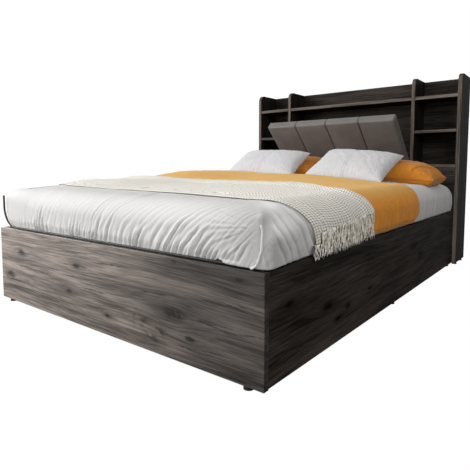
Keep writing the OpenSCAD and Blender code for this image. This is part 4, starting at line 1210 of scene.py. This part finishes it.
vd, fd, vl, fl = list(map(tuple, vd)), [tuple(q_) for q_ in fd], list(map(tuple, vl)), [tuple(q_) for q_ in fl]
fringe = mesh_object("throw_fringe_strands", vd + vl, fd + [tuple(i_ + len(vd) for i_ in q_) for q_ in fl])
fringe.data.materials.append(M["yarn"])
fringe.data.materials.append(M["yarn_dark"])
if len(fringe.data.polygons) == len(fd) + len(fl):
    fringe.data.polygons.foreach_set("material_index", [1] * len(fd) + [0] * len(fl))
for o in (throw, fringe):
    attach(o, "platform")
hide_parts("knit_throw")
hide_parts("throw_fringe")


# ---------------------------------------------------------------- pillows
def sheet_top(x, y):
    """Height of the sheet's upper side."""
    dx = np.clip(np.abs(x) - FLAT, 0, RS)
    return 500 - RS + np.sqrt(np.maximum(RS * RS - dx * dx, 0)) + crown(x, y)


def pillow_shape(c, thick, seed, nx=120, ny=84, pull=0.05, sag=0.0, rest=True, full=2.6, flap_at=None):
    """A stuffed case between four seam corners (foot left, foot right, head right, head left), in millimetres. Returns the points and faces of both
    sides, closed along the seam, and the points along it."""
    c = np.array(c, float)
    # closer together towards the seam
    warp = lambda n: np.sin(np.linspace(-1, 1, n) * math.pi / 2 * 0.92) / math.sin(math.pi / 2 * 0.92)
    a, b = warp(nx), warp(ny)
    A, Bv = np.meshgrid(a, b, indexing="ij")
    w = np.linalg.norm(c[1] - c[0])
    h = np.linalg.norm(c[3] - c[0])
    # sides drawn in between the corners, and the corners slightly blunt
    A2 = A * (1 - pull * (1 - Bv ** 2) - 0.012 * (np.abs(Bv) ** 8))
    B2 = Bv * (1 - pull * w / h * 0.8 * (1 - A ** 2) - 0.012 * (np.abs(A) ** 8))
    s, t = (A2 + 1) / 2, (B2 + 1) / 2
    base = ((1 - s) * (1 - t))[..., None] * c[0] + (s * (1 - t))[..., None] * c[1] + (s * t)[..., None] * c[2] + ((1 - s) * t)[..., None] * c[3]
    eu, ev = c[1] - c[0] + c[2] - c[3], c[3] - c[0] + c[2] - c[1]
    n = np.cross(eu, ev)
    n /= np.linalg.norm(n)
    if n[2] < 0:
        n = -n
    dome = np.clip(1 - np.abs(A) ** full, 0, 1) ** 0.56 * np.clip(1 - np.abs(Bv) ** full, 0, 1) ** 0.56
    ea, eb = (1 - np.abs(A)) * w / 2, (1 - np.abs(Bv)) * h / 2          # distance from the side and end seams
    rim = smooth(0, 9, np.minimum(ea, eb))
    out = []
    for side in (1, -1):
        sd = seed + (0 if side > 0 else 500)
        wr = crease(Bv * h / 44 + 0.25 * fbm(A * 3, Bv * 3, sd), sd + 1, 0.17, 0.4) * 5.2 * np.exp(-ea / 42)
        wr += crease(A * w / 50 + 0.25 * fbm(A * 3, Bv * 3, sd + 2), sd + 3, 0.17, 0.4) * 5.6 * np.exp(-eb / 46)
        for (ca, cb) in ((-1, -1), (1, -1), (1, 1), (-1, 1)):
            rx, ry = (A - ca) * w / 2, (Bv - cb) * h / 2
            r = np.hypot(rx, ry)
            an = np.arctan2(np.abs(ry), np.abs(rx) + 1e-6)
            wr += crease(an * 3.6 + 0.3, sd + 11 + int(2 * ca + cb), 0.15, 0.3) * 4.0 * smooth(12, 45, r) * (1 - smooth(60, 150, r))
        wr += 3.2 * fbm(A * w / 210, Bv * h / 190, sd + 5) + 1.2 * fbm(A * w / 60, Bv * h / 60, sd + 6)
        wr += crease((A * w / 2 * 0.8 + Bv * h / 2 * 0.6) / 92 + 0.5 * fbm(A * 2, Bv * 2, sd + 7), sd + 8, 0.10, 0.4) * 2.0 * dome
        lap = 0.0
        if flap_at is not None and side > 0:
            # the open end's flap laps over the case, with a hem
            e = (A - flap_at - 0.17 * Bv) * w / 2
            lap = -11.0 * np.exp(-(e / 6.5) ** 2) - 6.0 * smooth(0, 8, e) - 3.0 * np.exp(-((e - 26) / 3.5) ** 2)
        p = base + (n * side) * (thick / 2 * dome + 0.9 + wr * rim * (0.25 + 0.75 * dome) + lap * rim)[..., None]
        # the filling settles
        p[..., 2] -= sag * dome * (1 if side > 0 else 0.2)
        if rest:
            g = sheet_top(p[..., 0], p[..., 1]) + 2.0
            if side < 0:
                p[..., 2] = np.maximum(p[..., 2], g)
            else:
                p[..., 2] = np.maximum(p[..., 2], g + 2.5)
        out.append(p)
    top, bot = out
    V = np.concatenate([top.reshape(-1, 3), bot.reshape(-1, 3)])
    f_top = grid_faces(nx, ny)
    f_bot = grid_faces(nx, ny, flip=True, start=nx * ny)
    loop = [i * ny for i in range(nx)] + [(nx - 1) * ny + j for j in range(1, ny)] + [i * ny + ny - 1 for i in range(nx - 2, -1, -1)] + [j for j in range(ny - 2, 0, -1)]
    loop = np.array(loop)
    nxt = np.roll(loop, -1)
    rimf = np.stack([loop, loop + nx * ny, nxt + nx * ny, nxt], -1)
    faces = np.concatenate([f_top, f_bot, rimf])
    return V, faces, loop, n


def settle(o, cap, pressure):
    """Blows the case up a little as cloth so that it creases like one; no point moves further than cap."""
    me = o.data
    before = np.zeros(len(me.vertices) * 3)
    me.vertices.foreach_get("co", before)
    before = before.reshape(-1, 3)
    m = o.modifiers.new("cloth", "CLOTH")
    st = m.settings
    st.quality = 5
    st.mass = 0.25
    st.tension_stiffness = st.compression_stiffness = 12
    st.shear_stiffness = 6
    st.bending_stiffness = 0.25
    st.air_damping = 2
    st.use_pressure = True
    st.uniform_pressure_force = pressure
    st.effector_weights.gravity = 0.0
    st.shrink_min = -0.035
    m.collision_settings.use_collision = False
    m.collision_settings.use_self_collision = False
    m.point_cache.frame_start = 1
    m.point_cache.frame_end = 16
    for fr_ in range(1, 17):
        scene.frame_set(fr_)
    apply_modifiers(o)
    after = np.zeros(len(o.data.vertices) * 3)
    o.data.vertices.foreach_get("co", after)
    after = after.reshape(-1, 3)
    move = after - before
    d = np.linalg.norm(move, axis=1, keepdims=True)
    move *= np.minimum(1, cap / np.maximum(d, 1e-9))
    o.data.vertices.foreach_set("co", (before + move).ravel())
    o.data.update()
    scene.frame_set(1)


def pillow_mat(name, base, shade_, stripe=None):
    g = Mat(name, Roughness=0.88, Sheen_Weight=0.2, Sheen_Roughness=0.5, Specular_IOR_Level=0.2)
    p = g.coord()
    x, y, z = g.split(p)
    long = g.math("ADD", y, z)
    k = 2 * math.pi / 0.0022
    wv = g.math("MULTIPLY", g.math("SINE", g.math("MULTIPLY", x, k)), g.math("SINE", g.math("MULTIPLY", long, k)))
    s1 = g.noise(g.xyz(g.math("MULTIPLY", x, 16.0), g.math("MULTIPLY", long, 480.0), 0.0), 1.0, 3.0, 0.55)
    s2 = g.noise(g.xyz(g.math("MULTIPLY", x, 480.0), g.math("MULTIPLY", long, 16.0), 3.0), 1.0, 3.0, 0.55)
    sl = g.math("MULTIPLY", g.math("ADD", s1, s2), 0.5)
    soft = g.noise(p, 6.0, 3.0, 0.6)
    c = g.mix(g.range(sl, 0.33, 0.66), shade_, base)
    c = g.mix(g.math("MULTIPLY", g.range(soft, 0.4, 0.7), 0.25), c, shade_)
    if stripe:
        for off in stripe:
            d = g.math("ABSOLUTE", g.math("SUBTRACT", x, off))
            c = g.mix(g.math("MULTIPLY", g.range(d, 0.0016, 0.0005), 0.5), c, srgb("6f6a66"))
    h = g.math("MULTIPLY_ADD", wv, 0.25, g.math("MULTIPLY", sl, 1.3))
    return g.done(Base_Color=c, Normal=g.bump(h, 0.3, 0.0006))


M["grey_r"] = pillow_mat("grey_case_right", srgb("dad9da"), srgb("c2c1c3"), stripe=(0.262, 0.276))
M["grey_l"] = pillow_mat("grey_case_left", srgb("dad9da"), srgb("c2c1c3"), stripe=(-0.318, -0.304))
M["orange_case"] = pillow_mat("orange_case", srgb("d68d2f"), srgb("c07420"))
M["grey_seam"] = cloth("grey_seam", srgb("cfcecf"), thread=0.0012)
M["orange_seam"] = cloth("orange_seam", srgb("b86c1b"), thread=0.0012)

PILLOWS = [
    # name, CAD node, corners, thickness, seed, material, seam material
    ("grey_pillow_right_case", "grey_pillow_right", [(24, 1424, 541), (492, 1418, 524), (514, 1712, 664), (58, 1712, 704)], 106, 1100, "grey_r", "grey_seam"),
    ("grey_pillow_left_case", "grey_pillow_left", [(-572, 1424, 545), (-62, 1424, 545), (-92, 1712, 690), (-590, 1712, 704)], 108, 1200, "grey_l", "grey_seam"),
    ("orange_pillow_right_case", "orange_pillow_right", [(36, 1600, 560), (694, 1648, 522), (714, 1852, 538), (40, 1905, 640)], 160, 1300, "orange_case", "orange_seam"),
    ("orange_pillow_left_case", "orange_pillow_left", [(-694, 1640, 520), (-34, 1600, 560), (-38, 1905, 640), (-702, 1890, 560)], 130, 1400, "orange_case", "orange_seam"),
]
for (name, node, corners_, thick, seed, mk, sk) in PILLOWS:
    V, F, edge, n = pillow_shape(corners_, thick, seed, nx=190 if "orange" in name else 120, full=5.0 if "orange" in name else 2.9, flap_at=0.80 if name.startswith("orange_pillow_right") else None)
    o = mesh_object(name, W(V), F)
    bm = bmesh.new()
    bm.from_mesh(o.data)
    bmesh.ops.recalc_face_normals(bm, faces=bm.faces)
    bm.to_mesh(o.data)
    bm.free()
    settle(o, 0.008, 2.0)
    o.data.materials.append(M[mk])
    # the seam runs where the settled case has its edge
    co = np.zeros(len(o.data.vertices) * 3)
    o.data.vertices.foreach_get("co", co)
    co = co.reshape(-1, 3)
    seam = (co[edge] + co[edge + len(co) // 2]) / 2
    sp = np.concatenate([seam[::2], seam[:1]])
    v, f = tube_mesh([sp], 0.0019, 6, caps=False)
    so = mesh_object(name.replace("_case", "_seam"), v, f)
    so.data.materials.append(M[sk])
    for q_ in (o, so):
        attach(q_, "platform")
    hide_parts(node)


# ---------------------------------------------------------------- padded flap
FP, FO = (2064.0, 579.0), math.radians(46.0)


def opened(p):
    p = np.array(p, float)
    dy, dz = p[..., 1] - FP[0], p[..., 2] - FP[1]
    q_ = p.copy()
    q_[..., 1] = FP[0] + dy * math.cos(FO) - dz * math.sin(FO)
    q_[..., 2] = FP[1] + dy * math.sin(FO) + dz * math.cos(FO)
    return q_


FX, FY0, FY1, FZ0, FZ1 = 446.0, 2051.0, 2099.0, 565.6, 1023.4
seams_x = [-FX / 2, 0.0, FX / 2]
xs_ = [np.linspace(-FX, -FX + 14, 12)[:-1]]
marks = [-FX + 14] + [s_ + d for s_ in seams_x for d in (-13, 13)] + [FX - 14]
for k in range(len(marks) - 1):
    xs_.append(np.linspace(marks[k], marks[k + 1], 20 if k % 2 else 16)[:-1])
xs_.append(np.linspace(FX - 14, FX, 12))
fx = np.concatenate(xs_)
dseam = np.min([np.abs(fx - s_) for s_ in seams_x], axis=0)
dend = FX - np.abs(fx)
half = FX / 4
tch = np.clip(np.minimum(dseam, dend + 0.0) / half, 0, 1)
groove = np.exp(-(dseam / 3.4) ** 2)
ends = 1 - np.sqrt(np.clip(1 - (1 - np.clip(dend / 12, 0, 1)) ** 2, 0, 1))
# outline of the flap's side, from the back's lower edge round the front to the back's upper edge
prof = []
r1, r2 = 12.0, 10.0
prof += [(FY1, FZ0, 0.0, 0.0, -1.0)]
for y in np.linspace(FY1, FY0 + r1, 8)[1:-1]:
    prof.append((y, FZ0, 0.35, 0.0, -1.0))
for a in np.radians(np.linspace(-90, -180, 9)):
    prof.append((FY0 + r1 + r1 * math.cos(a), FZ0 + r1 + r1 * math.sin(a), 0.9, math.cos(a), math.sin(a)))
for z in np.linspace(FZ0 + r1, FZ1 - r2, 74)[1:-1]:
    prof.append((FY0, z, 1.0, -1.0, 0.0))
for a in np.radians(np.linspace(180, 90, 12)):
    prof.append((FY0 + r2 + r2 * math.cos(a), FZ1 - r2 + r2 * math.sin(a), 0.95, math.cos(a), math.sin(a)))
for y in np.linspace(FY0 + r2, FY1, 9)[1:]:
    prof.append((y, FZ1, 0.5, 0.0, 1.0))
prof = np.array(prof)
nf, mf_ = len(fx), len(prof)
PX = fx[:, None] * np.ones((1, mf_))
PY = np.ones((nf, 1)) * prof[None, :, 0]
PZ = np.ones((nf, 1)) * prof[None, :, 1]
wgt, nyf, nzf = (np.ones((nf, 1)) * prof[None, :, k] for k in (2, 3, 4))
zc = (PZ - FZ0) / (FZ1 - FZ0)
puff = (1 - (1 - tch) ** 2.6)[:, None] * 8.5 * np.clip(np.sin(np.clip(zc, 0.02, 0.98) * math.pi), 0, 1) ** 0.35
edge_in = (groove * 8.5)[:, None] * wgt + (ends * 12)[:, None] * np.clip(wgt + 0.15, 0, 1)
wrk = crease(PZ / 34 + 0.2 * fbm(PX / 40, PZ / 60, 401), 403, 0.2, 0.4) * 0.9 * np.exp(-(np.minimum(dseam, dend)[:, None]) / 16) * (nyf < -0.9)
wrk += 0.7 * fbm(PX / 60, PZ / 80, 405) * (nyf < -0.9)
move = puff * (nyf < 0) * np.abs(nyf) * 0.75 - edge_in + wrk
PY, PZ = PY + nyf * move, PZ + nzf * np.minimum(move, 0.4)
FPt = np.stack([PX, PY, PZ], -1)
faces = grid_faces(nf, mf_)
capa = [tuple(range(mf_))]
capb = [tuple((nf - 1) * mf_ + j for j in reversed(range(mf_)))]
back = [((i_) * mf_, (i_ + 1) * mf_, (i_ + 1) * mf_ + mf_ - 1, i_ * mf_ + mf_ - 1) for i_ in range(nf - 1)]
allf = [tuple(f_) for f_ in faces] + capa + capb + [tuple(b_) for b_ in back]
flap = mesh_object("flap_padding", W(opened(FPt)).reshape(-1, 3), allf)
bm_ = bmesh.new()
bm_.from_mesh(flap.data)
bmesh.ops.recalc_face_normals(bm_, faces=bm_.faces)
bm_.to_mesh(flap.data)
bm_.free()
seam_paths = []
for s_ in seams_x:
    k = int(np.argmin(np.abs(fx - s_)))
    rr = FPt[k, 3:-4].copy()
    seam_paths.append(W(opened(rr)))
v, f = tube_mesh(seam_paths, 0.0013, 6)
flap_seams = mesh_object("flap_seams", v, f)


def taupe_mat():
    g = Mat("taupe_leatherette", Roughness=0.5, Specular_IOR_Level=0.4, Sheen_Weight=0.12, Sheen_Roughness=0.4)
    p = g.coord()
    n = g.t.nodes.new("ShaderNodeTexVoronoi")
    n.feature = "DISTANCE_TO_EDGE"
    g.put(n.inputs["Vector"], p)
    n.inputs["Scale"].default_value = 520.0
    pebble = g.range(n.outputs["Distance"], 0.0, 0.22)
    a = g.noise(p, 9.0, 4.0, 0.6)
    b = g.noise(p, 700.0, 2.0, 0.5)
    c = g.mix(g.range(a, 0.3, 0.7), srgb("6b6866"), srgb("777371"))
    c = g.mix(g.math("MULTIPLY", g.math("SUBTRACT", 1.0, pebble), 0.35), c, srgb("544e49"))
    h = g.math("MULTIPLY_ADD", b, 0.2, pebble)
    return g.done(Base_Color=c, Normal=g.bump(h, 0.25, 0.0004), Roughness=g.range(a, 0.3, 0.7, 0.44, 0.56))


M["taupe"] = taupe_mat()
M["taupe_thread"] = cloth("taupe_thread", srgb("3d3631"), thread=0.0015)
flap.data.materials.append(M["taupe"])
flap_seams.data.materials.append(M["taupe_thread"])
for o in (flap, flap_seams):
    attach(o, "flap")
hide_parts("flap_upholstery")
